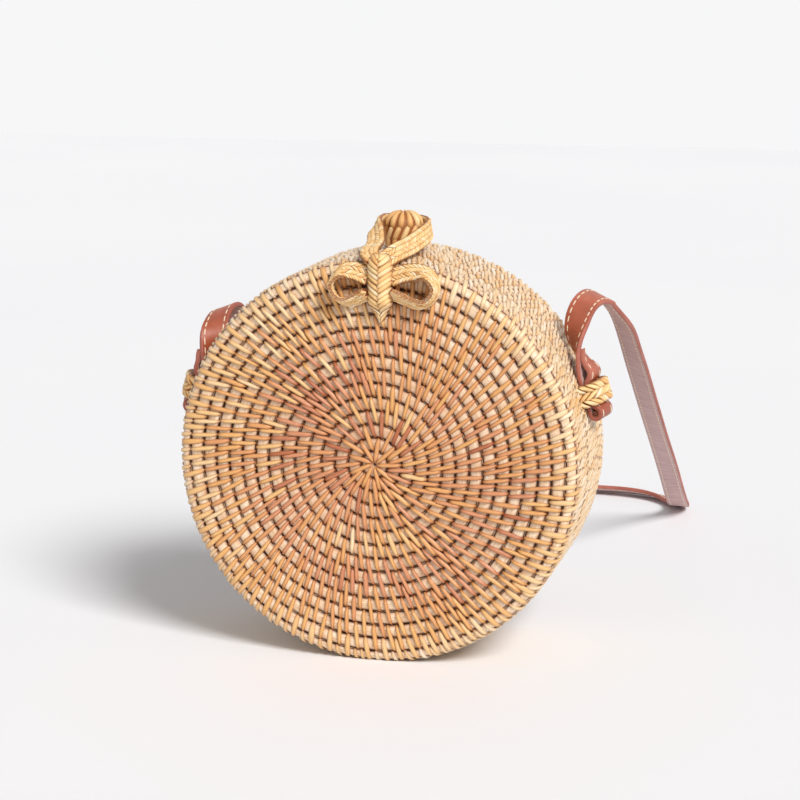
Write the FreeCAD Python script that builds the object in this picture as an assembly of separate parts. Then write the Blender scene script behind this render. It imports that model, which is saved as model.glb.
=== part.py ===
import FreeCAD, Part
import math
import os

V = FreeCAD.Vector

# Round shoulder bag of coiled cane: two shallow halves hinged underneath, a braided bow clasp and a leather strap.
# The bag stands on its rim. +X is its right seen from the front, -Y is its front and z = 0 is the table.

# Bag body, in millimetres
BAG_RADIUS = 99.5
BAG_DEPTH = 80.0
LID_DEPTH = 28.0
WALL = 3.6
LINING = 0.8
LINING_ROUND = 1.0
REST_CUT = 0.6
HOOP_RADIUS = 2.0
MOUTH_GAP = 0.3
FIT = 0.1

# Coils of cane, counted from the middle of a face to its rim and from there to the mouth
COIL_FURROW = 1.1
FACE_COILS = 14
FRONT_WALL_COILS = 4
REAR_WALL_COILS = 8

# Lashings under the bag
TIE_ANGLE = 14.0
TIE_LENGTH = 5.0
TIE_THICKNESS = 0.9

# Woven button on the rear half
CLASP_X = 4.0
BUTTON_BACK = 16.0
BUTTON_RADIUS = 10.0
BUTTON_FOOT_RADIUS = 7.5
BUTTON_SHOULDER_RADIUS = 8.6
BUTTON_HEIGHT = 20.0
BUTTON_BELLY_HEIGHT = 8.5
BUTTON_SHOULDER_HEIGHT = 15.8
CORD_RADIUS = 2.0
KNOT_RADIUS = 5.0
KNOT_LENGTH = 3.0

# Braided ribbon of the bow and the clasp loop
RIBBON_WIDTH = 9.0
RIBBON_THICKNESS = 2.2
LOOP_ROOM = 1.8
LOOP_KNOT_GAP = 0.6
BOW_KNOT_WIDTH = 12.0
BOW_KNOT_HEIGHT = 24.0
BOW_KNOT_RISE = 1.6
BOW_KNOT_DEPTH = 9.0
BOW_KNOT_SIDE_DEPTH = 5.5
BOW_LOOP_RIGHT = 22.0
BOW_LOOP_LEFT = 18.5
BOW_LOOP_HEIGHT = 20.6
BOW_LOOP_ROOT = 9.0
BOW_LOOP_DROP = 13.0
BOW_TAIL_WIDTH = 7.0
BOW_TAIL_TIP_WIDTH = 2.4
BOW_TAIL_LENGTH = 6.5
BOW_CORD_DROP = 15.0

# Route of the clasp loop, from the bow's knot round the button and back to the knot: share of the way back to
# the button's middle, distance to the right as a share of the loop's radius, share of the rise, and roll
CLASP_RISE = 12.5
CLASP_ROUTE = (
    (0.0, 0.46, 0.29, 50.0),
    (0.31, 0.69, 0.415, 55.0),
    (0.65, 0.92, 0.625, 64.0),
    (0.95, 1.0, 0.8, 76.0),
    (1.21, 0.71, 0.91, 86.0),
    (1.3, 0.0, 0.96, 90.0),
    (1.21, -0.71, 0.99, 90.0),
    (0.95, -1.0, 1.0, 82.0),
    (0.65, -0.9, 0.78, 52.0),
    (0.31, -0.66, 0.455, 20.0),
    (0.0, -0.5, 0.19, 8.0),
)

# Woven side loops that hold the strap ends, on the right (1) and the left (-1)
LOOP_ANGLE = {1: 18.0, -1: 14.5}
LOOP_HEIGHT = 9.5
LOOP_BRIDGE = 2.2
LOOP_LEG = 1.9
LOOP_CLEARANCE = 0.25
LOOP_ROUND = 2.0
BAR_THICKNESS = 2.5
BAR_SEAT = 0.4

# Leather strap and its folded ends, which are turned towards the front in their loops
STRAP_WIDTH = 13.0
STRAP_THICKNESS = 2.4
STRAP_BACK = 15.4
END_TURN = 16.0
END_GAP_RIGHT = 0.6
END_GAP_LEFT = 3.4
FOLD_RADIUS = 1.5
FOLD_DROP = 4.8
FOLD_RISE = 1.2
PEG_CLEARANCE = 0.15
TAIL_GAP = 0.2
TAIL_STRAIGHT = 0.8
TAIL_BULGE = 3.2
TAIL_BULGE_RISE = 4.0
TAIL_RISE = 12.0
MAIN_RISE = 13.5

# Arch of the strap over each side
ARCH_RISE_RIGHT = 27.0
ARCH_RISE_LEFT = 20.0
ARCH_REACH_RIGHT = 23.0
ARCH_REACH_LEFT = 18.0
ARCH_SPREAD_RIGHT = 7.5
ARCH_SPREAD_LEFT = -5.0
ARCH_DIP_RIGHT = 4.5
ARCH_DIP_LEFT = 3.0
ARCH_ROLL = 28.0
ARCH_STATIONS = 18
TWIST_SHARE = {1: 0.4, -1: 0.36}
SWING_BACK = 5.0
SWING_RISE = 28.0
BEND_GAP = 0.3

# Route of the free strap. Each limb runs down to its landing point: share of the run, share of the sideways
# drift, and roll of the outer edge. On the table: share of the half width, share of the reach back, and roll.
LIMB_SLOPE = 0.629
LANDING_RIGHT = 107.0
LANDING_LEFT = -88.0
LANDING_Z = 8.5
FLOOR_REACH = 57.0
LIMB_ROUTE = (
    (0.0, 0.0, 28.0),
    (0.06, 0.6, 30.0),
    (0.15, 0.84, 30.0),
    (0.32, 0.87, 22.0),
    (0.6, 0.92, 18.0),
    (0.85, 0.98, 8.0),
    (1.0, 1.0, 0.0),
)
FLOOR_ROUTE = (
    (0.95, 0.44, 12.0),
    (0.78, 0.755, 20.0),
    (0.48, 0.945, 22.0),
    (0.08, 1.0, 22.0),
    (-0.34, 0.91, 22.0),
    (-0.70, 0.665, 20.0),
    (-0.93, 0.315, 12.0),
)
STATIONS_PER_SPAN = 4

# Worked out from the sizes above
CENTRE_Z = BAG_RADIUS - REST_CUT
FRONT_Y = -BAG_DEPTH / 2
REAR_Y = BAG_DEPTH / 2
PARTING_Y = FRONT_Y + LID_DEPTH
BUTTON_Y = PARTING_Y + BUTTON_BACK
STRAP_Y = PARTING_Y + STRAP_BACK
RIM_ROUND = WALL + FIT + LINING + LINING_ROUND
RIM_LENGTH = RIM_ROUND * math.pi / 2
FACE_RADIUS = BAG_RADIUS - RIM_ROUND
HOOP_CENTRE = MOUTH_GAP / 2 + HOOP_RADIUS
BAND_EDGE = MOUTH_GAP / 2 + 2 * HOOP_RADIUS + FIT
LINING_EDGE = BAND_EDGE + 2 * TIE_THICKNESS
LINING_DEPTH = WALL + FIT + LINING
BUTTON_Z = CENTRE_Z + BAG_RADIUS + FIT
BOW_BACK_Y = FRONT_Y - FIT
BOW_TOP_Z = CENTRE_Z + BAG_RADIUS + BOW_KNOT_RISE
STRAP_HALF = STRAP_THICKNESS / 2
END_SWING = STRAP_WIDTH / 2 * math.sin(math.radians(END_TURN))
FOLD_S = STRAP_THICKNESS + FOLD_RADIUS
FOLD_V = -LOOP_HEIGHT / 2 - FOLD_DROP
TAIL_S = STRAP_HALF + STRAP_THICKNESS + TAIL_GAP
END_DEPTH = TAIL_S + STRAP_HALF
BAG_AXIS = (V(0, 0, CENTRE_Z), V(0, 1, 0))

# The same by side, right (1) and left (-1)
BOW_LOOP_WIDTH = {1: BOW_LOOP_RIGHT, -1: BOW_LOOP_LEFT}
END_WALL_GAP = {1: END_GAP_RIGHT, -1: END_GAP_LEFT}
ARCH_RISE = {1: ARCH_RISE_RIGHT, -1: ARCH_RISE_LEFT}
ARCH_REACH = {1: ARCH_REACH_RIGHT, -1: ARCH_REACH_LEFT}
ARCH_SPREAD = {1: ARCH_SPREAD_RIGHT, -1: ARCH_SPREAD_LEFT}
ARCH_DIP = {1: ARCH_DIP_RIGHT, -1: ARCH_DIP_LEFT}
LANDING_X = {1: LANDING_RIGHT, -1: LANDING_LEFT}


def save(name, shape):
    """Write one sub-part, as the single solid that it is."""
    solid = shape.Solids[0]
    if len(shape.Solids) != 1 or not solid.isValid():
        raise ValueError("%s has %d solids, valid: %s" % (name, len(shape.Solids), solid.isValid()))
    solid.exportStep("parts/%s.step" % name)


def lines(*points):
    """Straight edges through the points."""
    return [Part.LineSegment(a, b).toShape() for a, b in zip(points, points[1:])]


def arc(a, b, c):
    return Part.Arc(a, b, c).toShape()


def face_of(edges):
    return Part.Face(Part.Wire(Part.__sortEdges__(edges)))


def prism(points, along):
    """A closed outline of straight edges, drawn out along a vector."""
    return Part.Face(Part.makePolygon(list(points) + [points[0]])).extrude(along)


def below_table(shape):
    """Cut flat what would reach under the table top."""
    reach = BAG_RADIUS + BAG_DEPTH
    return shape.cut(Part.makeBox(2 * reach, 2 * reach, reach, V(-reach, -reach, -reach)))


# Bag body


def on_skin(face_y, distance, depth):
    """Point of the bag's outline, so far from the middle of a face, out over the rim and along the wall."""
    out = math.copysign(1, face_y)
    if distance <= FACE_RADIUS:
        return V(distance, face_y - out * depth, CENTRE_Z)
    if distance >= FACE_RADIUS + RIM_LENGTH:
        wall = distance - FACE_RADIUS - RIM_LENGTH
        return V(BAG_RADIUS - depth, face_y - out * (RIM_ROUND + wall), CENTRE_Z)
    turn = (distance - FACE_RADIUS) / RIM_ROUND
    corner = V(FACE_RADIUS, face_y - out * RIM_ROUND, CENTRE_Z)
    return corner + V(math.sin(turn), out * math.cos(turn), 0) * (RIM_ROUND - depth)


def plain_run(face_y, start, end, depth):
    """Edges at one depth under the outside, from a place on the face over the rim to a place on the wall."""
    rim = [on_skin(face_y, FACE_RADIUS + RIM_LENGTH * share, depth) for share in (0, 0.5, 1)]
    face = []
    if start < FACE_RADIUS:
        face = lines(on_skin(face_y, start, depth), rim[0])
    return face + [arc(*rim)] + lines(rim[2], on_skin(face_y, end, depth))


def coiled_run(face_y, start, end, coils):
    """Edges of the outside, one arc for each coil, with furrows between them."""
    pitch = (end - start) / coils
    places = [start + pitch * i for i in range(coils)]
    return [arc(on_skin(face_y, place, COIL_FURROW), on_skin(face_y, place + pitch / 2, 0),
                on_skin(face_y, place + pitch, COIL_FURROW)) for place in places]


def wall_end(face_y, mouth_y):
    """Distance from the middle of a face to a place on the wall."""
    return FACE_RADIUS + RIM_LENGTH + abs(face_y - mouth_y) - RIM_ROUND


def face_panel(face_y):
    """Disc of coils, flat inside."""
    radius = FACE_RADIUS - FIT
    back = [on_skin(face_y, 0, WALL), on_skin(face_y, radius, WALL)]
    edges = coiled_run(face_y, 0, radius, FACE_COILS)
    edges += lines(on_skin(face_y, 0, COIL_FURROW), *back, on_skin(face_y, radius, COIL_FURROW))
    return face_of(edges).revolve(*BAG_AXIS, 360)


def side_band(face_y, inward, coils):
    start = FACE_RADIUS
    end = wall_end(face_y, PARTING_Y - inward * BAND_EDGE)
    edges = coiled_run(face_y, start, end, coils) + plain_run(face_y, start, end, WALL)
    for place in (start, end):
        edges += lines(on_skin(face_y, place, COIL_FURROW), on_skin(face_y, place, WALL))
    band = face_of(edges).revolve(*BAG_AXIS, 360)
    for side in (1, -1):
        band = band.cut(tie_notch(side))
    return below_table(band)


def lining(face_y, inward):
    end = wall_end(face_y, PARTING_Y - inward * LINING_EDGE)
    depths = (WALL + FIT, LINING_DEPTH)
    edges = plain_run(face_y, 0, end, depths[0]) + plain_run(face_y, 0, end, depths[1])
    for place in (0, end):
        edges += lines(*[on_skin(face_y, place, depth) for depth in depths])
    return face_of(edges).revolve(*BAG_AXIS, 360)


def mouth_hoop(inward):
    centre = V(0, PARTING_Y - inward * HOOP_CENTRE, CENTRE_Z)
    return below_table(Part.makeTorus(BAG_RADIUS - HOOP_RADIUS, HOOP_RADIUS, centre, V(0, 1, 0)))


# Lashings that hinge the halves


def stadium(half_length, half_height, length):
    """Upright slab with round ends, at the bottom of the hoops, lengthways across the parting line."""
    z = CENTRE_Z - (BAG_RADIUS - HOOP_RADIUS)
    straight = half_length - half_height

    def at(dy, dz):
        return V(-length / 2, PARTING_Y + dy, z + dz)

    edges = lines(at(-straight, half_height), at(straight, half_height))
    edges += [arc(at(straight, half_height), at(half_length, 0), at(straight, -half_height))]
    edges += lines(at(straight, -half_height), at(-straight, -half_height))
    edges += [arc(at(-straight, -half_height), at(-half_length, 0), at(-straight, half_height))]
    return face_of(edges).extrude(V(length, 0, 0))


def swung_to_side(shape, side):
    shape.rotate(*BAG_AXIS, -side * TIE_ANGLE)
    return shape


def hinge_tie(side):
    half_length = HOOP_CENTRE + HOOP_RADIUS + FIT
    half_height = HOOP_RADIUS + FIT
    outer = stadium(half_length + TIE_THICKNESS, half_height + TIE_THICKNESS, TIE_LENGTH)
    return swung_to_side(outer.cut(stadium(half_length, half_height, TIE_LENGTH)), side)


def tie_notch(side):
    half_length = HOOP_CENTRE + HOOP_RADIUS + TIE_THICKNESS + 3 * FIT
    half_height = half_length + WALL
    size = V(TIE_LENGTH + 4 * FIT, 2 * half_length, 2 * half_height)
    z = CENTRE_Z - (BAG_RADIUS - HOOP_RADIUS)
    corner = V(-size.x / 2, PARTING_Y - half_length, z - half_height)
    return swung_to_side(Part.makeBox(size.x, size.y, size.z, corner), side)


# Button and its cord


def clasp_button():
    def at(radius, height):
        return V(CLASP_X + radius, BUTTON_Y, BUTTON_Z + height)

    dome = BUTTON_HEIGHT - BUTTON_SHOULDER_HEIGHT
    dome_radius = (BUTTON_SHOULDER_RADIUS ** 2 + dome ** 2) / (2 * dome)
    half_angle = math.asin(BUTTON_SHOULDER_RADIUS / dome_radius) / 2
    crown = at(dome_radius * math.sin(half_angle), BUTTON_HEIGHT - dome_radius * (1 - math.cos(half_angle)))
    shoulder = at(BUTTON_SHOULDER_RADIUS, BUTTON_SHOULDER_HEIGHT)
    edges = lines(at(0, BUTTON_HEIGHT), at(0, 0), at(BUTTON_FOOT_RADIUS, 0))
    edges += [arc(at(BUTTON_FOOT_RADIUS, 0), at(BUTTON_RADIUS, BUTTON_BELLY_HEIGHT), shoulder)]
    edges += [arc(shoulder, crown, at(0, BUTTON_HEIGHT))]
    return face_of(edges).revolve(at(0, 0), V(0, 0, 1), 360)


def button_knot_top():
    edge_x = abs(CLASP_X) + KNOT_RADIUS
    return CENTRE_Z + math.sqrt((BAG_RADIUS - LINING_DEPTH) ** 2 - edge_x ** 2) - FIT


def button_cord(radius=CORD_RADIUS):
    top = button_knot_top()
    return Part.makeCylinder(radius, BUTTON_Z - top, V(CLASP_X, BUTTON_Y, top))


def button_knot():
    top = button_knot_top()
    knot = Part.makeCylinder(KNOT_RADIUS, KNOT_LENGTH, V(CLASP_X, BUTTON_Y, top - KNOT_LENGTH))
    return knot.makeFillet(KNOT_LENGTH / 3, [knot.Edges[2]])


# Bow and clasp loop


def bow_knot():
    half = BOW_KNOT_WIDTH / 2
    z = BOW_TOP_Z - BOW_KNOT_HEIGHT

    def at(x, depth):
        return V(CLASP_X + x, BOW_BACK_Y - depth, z)

    edges = lines(at(half, BOW_KNOT_SIDE_DEPTH), at(half, 0), at(-half, 0), at(-half, BOW_KNOT_SIDE_DEPTH))
    edges += [arc(at(-half, BOW_KNOT_SIDE_DEPTH), at(0, BOW_KNOT_DEPTH), at(half, BOW_KNOT_SIDE_DEPTH))]
    return face_of(edges).extrude(V(0, 0, BOW_KNOT_HEIGHT))


def teardrop(place, radius, tip_distance, tip_half):
    """Outline round a centre that closes in to a blunt tip; place(along, across) gives its points."""
    left = place(0, radius)
    right = place(0, -radius)
    back = place(-radius, 0)
    limbs = lines(left, place(tip_distance, tip_half), place(tip_distance, -tip_half), right)
    return Part.Wire(Part.__sortEdges__(limbs + [arc(right, back, left)]))


def bow_loop(side):
    """Loop of ribbon, open where its two ends are gathered into the knot."""
    radius = BOW_LOOP_HEIGHT / 2
    root = BOW_LOOP_WIDTH[side] - radius
    knot_side = BOW_KNOT_WIDTH / 2 + FIT

    def place(along, across):
        return V(CLASP_X + side * (knot_side + root - along), BOW_BACK_Y, BOW_TOP_Z - BOW_LOOP_DROP + across)

    def filled(inset):
        outline = teardrop(place, radius - inset, root, BOW_LOOP_ROOT / 2 - inset)
        return Part.Face(outline).extrude(V(0, -RIBBON_WIDTH, 0))

    return filled(0).cut(filled(RIBBON_THICKNESS))


def bow_tail():
    top = BOW_TOP_Z - BOW_KNOT_HEIGHT
    half = BOW_TAIL_WIDTH / 2
    tip = BOW_TAIL_TIP_WIDTH / 2
    outline = [V(CLASP_X - half, BOW_BACK_Y, top), V(CLASP_X + half, BOW_BACK_Y, top),
               V(CLASP_X + tip, BOW_BACK_Y, top - BOW_TAIL_LENGTH),
               V(CLASP_X - tip, BOW_BACK_Y, top - BOW_TAIL_LENGTH)]
    return prism(outline, V(0, -RIBBON_THICKNESS, 0))


def bow_cord(radius=CORD_RADIUS):
    length = LINING_DEPTH + 2 * FIT
    return Part.makeCylinder(radius, length, V(CLASP_X, BOW_BACK_Y, BOW_TOP_Z - BOW_CORD_DROP), V(0, 1, 0))


def bow_cord_knot():
    start = V(CLASP_X, BOW_BACK_Y + LINING_DEPTH + 2 * FIT, BOW_TOP_Z - BOW_CORD_DROP)
    knot = Part.makeCylinder(KNOT_RADIUS, KNOT_LENGTH, start, V(0, 1, 0))
    return knot.makeFillet(KNOT_LENGTH / 3, [knot.Edges[0]])


# Side loops and strap ends. Side is 1 right, -1 left; u is outwards from the wall and v is up along it.
# In a strap end, s is outwards from its inner face and w is across it, towards the front.


def side_vector(side, u, v):
    turn = math.radians(LOOP_ANGLE[side])
    return V(side * (u * math.cos(turn) - v * math.sin(turn)), 0, u * math.sin(turn) + v * math.cos(turn))


def side_point(side, u, v, y):
    return V(0, y, CENTRE_Z) + side_vector(side, BAG_RADIUS + u, v)


def end_seat(side):
    """How far out from the wall the middle of a strap end's inner face is."""
    return END_WALL_GAP[side] + END_SWING


def end_place(side, s, w):
    """(u, y) of a point of a strap end."""
    turn = math.radians(END_TURN)
    u = end_seat(side) + s * math.cos(turn) - w * math.sin(turn)
    return u, STRAP_Y - s * math.sin(turn) - w * math.cos(turn)


def end_point(side, s, v, w):
    u, y = end_place(side, s, w)
    return side_point(side, u, v, y)


def end_across(side):
    """Unit vector across a strap end, towards the front."""
    return (end_point(side, 0, 0, STRAP_WIDTH) - end_point(side, 0, 0, 0)).normalize()


def leg_places():
    _, front = end_place(1, END_DEPTH, STRAP_WIDTH / 2)
    _, rear = end_place(1, 0, -STRAP_WIDTH / 2)
    front -= LOOP_CLEARANCE
    rear += LOOP_CLEARANCE
    return (front - LOOP_LEG, front), (rear, rear + LOOP_LEG)


def leg_end():
    """How far under the wall's outside the legs of a side loop end, inside the bag."""
    sagitta = BAG_RADIUS - math.sqrt(BAG_RADIUS ** 2 - LOOP_HEIGHT ** 2 / 4)
    return -(LINING_DEPTH + sagitta + BAR_SEAT)


def side_block(side, u_low, u_high, y_low, y_high, half_height):
    outline = [side_point(side, u, -half_height, y)
               for u, y in ((u_low, y_low), (u_low, y_high), (u_high, y_high), (u_high, y_low))]
    return prism(outline, side_vector(side, 0, 2 * half_height))


def bridge_height(side, s, y):
    """u of the slanting line at distance s from the strap end's inner face."""
    turn = math.radians(END_TURN)
    return end_seat(side) + s / math.cos(turn) + (y - STRAP_Y) * math.tan(turn)


def strap_loop(side):
    (front_out, front_in), (rear_in, rear_out) = leg_places()
    inner = END_DEPTH + LOOP_CLEARANCE
    outer = inner + LOOP_BRIDGE
    half = LOOP_HEIGHT / 2
    outline = [(leg_end(), front_out), (bridge_height(side, outer, front_out), front_out),
               (bridge_height(side, outer, rear_out), rear_out), (leg_end(), rear_out), (leg_end(), rear_in),
               (bridge_height(side, inner, rear_in), rear_in), (bridge_height(side, inner, front_in), front_in),
               (leg_end(), front_in)]
    loop = prism([side_point(side, u, -half, y) for u, y in outline], side_vector(side, 0, LOOP_HEIGHT))
    corners = [side_point(side, u, 0, y) for u, y in outline[1:3]]
    edges = [e for e in loop.Edges if any(e.CenterOfMass.distanceToPoint(c) < FIT for c in corners)]
    return loop.makeFillet(LOOP_ROUND, edges)


def leg_holes(shape):
    """Openings for the legs of both side loops, through a wall or a lining."""
    for side in (1, -1):
        for low, high in leg_places():
            half = LOOP_HEIGHT / 2 + FIT
            shape = shape.cut(side_block(side, leg_end(), end_seat(side), low - FIT, high + FIT, half))
    return shape


def strap_loop_bar(side):
    (front_out, _), (_, rear_out) = leg_places()
    return side_block(side, leg_end() - BAR_THICKNESS, leg_end(), front_out, rear_out, LOOP_HEIGHT / 2)


def strap_peg(side):
    start = end_point(side, FOLD_S, FOLD_V, -STRAP_WIDTH / 2)
    return Part.makeCylinder(FOLD_RADIUS - PEG_CLEARANCE, STRAP_WIDTH, start, end_across(side))


def beside(before, at, after):
    """Points half a strap thickness to the left and right of a bend in a line."""
    a = (at - before).normalize()
    b = (after - at).normalize()
    left_a = V(-a.y, a.x, 0)
    left_b = V(-b.y, b.x, 0)
    reach = (left_a + left_b) * (STRAP_HALF / (1 + left_a.dot(left_b)))
    return at + reach, at - reach


def main_top():
    return LOOP_HEIGHT / 2 + MAIN_RISE


def strap_end(side):
    """Strap end folded round its peg, with its tail brought back up through the loop and sewn down."""
    held = LOOP_HEIGHT / 2 + TAIL_STRAIGHT
    start = V(FOLD_S + FOLD_RADIUS + STRAP_HALF, FOLD_V, 0)
    tail = [start - V(0, FOLD_RADIUS, 0), start, start + V(0, FOLD_RISE, 0), V(TAIL_S, -held, 0), V(TAIL_S, held, 0),
            V(TAIL_S + TAIL_BULGE, held + TAIL_BULGE_RISE, 0), V(TAIL_S, held + TAIL_RISE, 0)]
    tail.append(tail[-1] * 2 - tail[-2])
    sides = [beside(*tail[i - 1:i + 2]) for i in range(1, len(tail) - 1)]
    tail_in = [left for left, _ in sides]
    tail_out = [right for _, right in sides]

    def at(p):
        return end_point(side, p.x, p.y, -STRAP_WIDTH / 2)

    def fold(first, last, radius):
        return arc(at(first), end_point(side, FOLD_S, FOLD_V - radius, -STRAP_WIDTH / 2), at(last))

    wall_run = [V(0, main_top(), 0), V(0, FOLD_V, 0)]
    out_run = [V(STRAP_THICKNESS, FOLD_V, 0), V(STRAP_THICKNESS, main_top(), 0)]
    edges = [fold(wall_run[1], tail_out[0], FOLD_RADIUS + STRAP_THICKNESS)]
    edges += [fold(out_run[0], tail_in[0], FOLD_RADIUS)]
    edges += lines(*map(at, wall_run)) + lines(*map(at, out_run))
    edges += lines(*map(at, tail_in)) + lines(*map(at, tail_out))
    edges += lines(at(wall_run[0]), at(out_run[1])) + lines(at(tail_in[-1]), at(tail_out[-1]))
    return face_of(edges).extrude(end_across(side) * STRAP_WIDTH)


# Bands of ribbon and strap: stations are (point, direction, width direction), joined by straight-ruled faces


def smooth(share):
    share = min(max(share, 0.0), 1.0)
    return share * share * (3 - 2 * share)


def rolled(outwards, roll):
    """Width direction that points outwards, with its outer edge rolled down."""
    turn = math.radians(roll)
    return outwards * math.cos(turn) - V(0, 0, math.sin(turn))


def to_the_right(direction):
    return V(direction.y, -direction.x, 0).normalize()


def band_section(station, width, thickness):
    point, direction, width_direction = station
    along = V(direction).normalize()
    across = (width_direction - along * width_direction.dot(along)).normalize() * (width / 2)
    thick = along.cross(across).normalize() * (thickness / 2)
    corners = [point + across + thick, point - across + thick, point - across - thick, point + across - thick]
    return Part.makePolygon(corners + corners[:1])


def band(stations, width, thickness):
    return Part.makeLoft([band_section(s, width, thickness) for s in stations], True, True)


def stations_along(curve, route):
    """Stations of a smooth curve through the route's points, each of which has a roll."""
    knots = [curve.parameter(p) for p, _ in route]
    places = []
    for i, (start, end) in enumerate(zip(knots, knots[1:])):
        for step in range(STATIONS_PER_SPAN):
            share = step / STATIONS_PER_SPAN
            roll = route[i][1] + (route[i + 1][1] - route[i][1]) * smooth(share)
            places.append((start + (end - start) * share, roll))
    places.append((knots[-1], route[-1][1]))

    def station(parameter, roll):
        direction = curve.tangent(parameter)[0]
        return curve.value(parameter), direction, rolled(to_the_right(direction), roll)

    return [station(*p) for p in places]


def clasp_loop():
    """Ribbon from the bow's knot back round the button: it lies over at the knot and stands up at the button."""
    radius = BUTTON_RADIUS + LOOP_ROOM + RIBBON_THICKNESS / 2
    start_y = BOW_BACK_Y + LOOP_KNOT_GAP
    bag_top = CENTRE_Z + BAG_RADIUS
    run = BUTTON_Y - start_y
    route = [(V(CLASP_X + across * radius, start_y + back * run, bag_top + rise * CLASP_RISE), roll)
             for back, across, rise, roll in CLASP_ROUTE]
    curve = Part.BSplineCurve()
    curve.interpolate([p for p, _ in route])
    return band(stations_along(curve, route), RIBBON_WIDTH, RIBBON_THICKNESS)


# Free strap


def strap_top(side):
    """Middle of the end of the strap's fixed run."""
    return end_point(side, STRAP_HALF, main_top(), 0)


SWING_Y = strap_top(1).y + SWING_BACK
SWING_Z = strap_top(1).z + SWING_RISE


def arch_end_angle(side):
    """Where the arch slopes as steeply as the limb that follows it."""
    return math.degrees(math.atan2(ARCH_RISE[side], LIMB_SLOPE * ARCH_REACH[side]))


def arch_station(side, share):
    top = strap_top(side)
    angle = math.radians(180 - share * (180 - arch_end_angle(side)))
    sway = ARCH_SPREAD[side] * share ** 2 - ARCH_DIP[side] * 4 * share * (1 - share) ** 2
    point = top + V(side * sway, ARCH_REACH[side] * (1 + math.cos(angle)), ARCH_RISE[side] * math.sin(angle))
    turn = math.radians(90 + END_TURN) * smooth(share / TWIST_SHARE[side]) - math.radians(END_TURN)
    outwards = rolled(V(side, 0, 0), ARCH_ROLL * share)
    return point, outwards * math.sin(turn) - V(0, math.cos(turn), 0)


def arch_end(side):
    """Point and unit direction at the back foot of the arch, walking away from the side loop."""
    point, _ = arch_station(side, 1.0)
    return point, (limb_points(side)[1][0] - point).normalize()


def strap_bend(side):
    shares = [i / ARCH_STATIONS for i in range(1, ARCH_STATIONS)]
    inner = [arch_station(side, share) for share in shares]
    end, end_direction = arch_end(side)
    points = [strap_top(side)] + [p for p, _ in inner] + [end - end_direction * BEND_GAP]
    widths = [end_across(side)] + [w for _, w in inner] + [rolled(to_the_right(end_direction) * side, ARCH_ROLL)]
    directions = [side_vector(side, 0, 1)]
    directions += [after - before for before, after in zip(points, points[2:])]
    directions += [end_direction]
    return band(zip(points, directions, widths), STRAP_WIDTH, STRAP_THICKNESS)


def limb_points(side):
    """Points from the back foot of the arch to where the strap lands, each with its roll."""
    foot, _ = arch_station(side, 1.0)
    landing_y = foot.y + (foot.z - LANDING_Z) / LIMB_SLOPE
    landing = V(LANDING_X[side], landing_y, LANDING_Z)
    run = landing - foot
    return [(foot + V(run.x * drift, run.y * share, run.z * share), roll) for share, drift, roll in LIMB_ROUTE]


def strap_route():
    """Points of the free strap from the right arch to the left one, each with its roll."""
    right = limb_points(1)
    left = limb_points(-1)
    right_landing = right[-1][0]
    left_landing = left[-1][0]
    middle = (right_landing + left_landing) * 0.5
    half = (right_landing - left_landing) * 0.5

    def on_table(sideways, back, roll):
        turn = math.radians(roll)
        height = STRAP_WIDTH / 2 * math.sin(turn) + STRAP_HALF * math.cos(turn)
        place = middle + half * sideways
        return V(place.x, place.y + back * FLOOR_REACH, height), roll

    return right + [on_table(*p) for p in FLOOR_ROUTE] + left[::-1]


def strap_main():
    route = strap_route()
    curve = Part.BSplineCurve()
    points = [p for p, _ in route]
    arrival = arch_end(-1)[1] * -1
    curve.interpolate(Points=points, InitialTangent=arch_end(1)[1], FinalTangent=arrival, Scale=False)
    print("free strap %.1f mm" % curve.length())
    return below_table(band(stations_along(curve, route), STRAP_WIDTH, STRAP_THICKNESS))


def main():
    os.makedirs("parts", exist_ok=True)
    save("front_face_panel", face_panel(FRONT_Y).cut(bow_cord(CORD_RADIUS + FIT)))
    save("front_side_band", side_band(FRONT_Y, 1, FRONT_WALL_COILS))
    save("front_mouth_hoop", mouth_hoop(1))
    save("front_lining", lining(FRONT_Y, 1).cut(bow_cord(CORD_RADIUS + FIT)))
    save("rear_face_panel", face_panel(REAR_Y))
    rear_band = leg_holes(side_band(REAR_Y, -1, REAR_WALL_COILS))
    save("rear_side_band", rear_band.cut(button_cord(CORD_RADIUS + FIT)))
    save("rear_mouth_hoop", mouth_hoop(-1))
    save("rear_lining", leg_holes(lining(REAR_Y, -1)).cut(button_cord(CORD_RADIUS + FIT)))
    save("clasp_button", clasp_button())
    save("button_cord", button_cord())
    save("button_knot", button_knot())
    save("bow_knot", bow_knot())
    save("bow_tail", bow_tail())
    save("bow_cord", bow_cord())
    save("bow_cord_knot", bow_cord_knot())
    save("clasp_loop", clasp_loop())
    for side, word in ((1, "right"), (-1, "left")):
        save("bow_loop_" + word, bow_loop(side))
        save("hinge_tie_" + word, hinge_tie(side))
        save("strap_loop_" + word, strap_loop(side))
        save("strap_loop_bar_" + word, strap_loop_bar(side))
        save("strap_peg_" + word, strap_peg(side))
        save("strap_end_" + word, strap_end(side))
        save("strap_bend_" + word, strap_bend(side))
    save("strap_main", strap_main())
    print("strap swings about y %.2f z %.2f; the halves part at y %.2f" % (SWING_Y, SWING_Z, PARTING_Y))


main()
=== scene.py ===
import math

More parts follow.
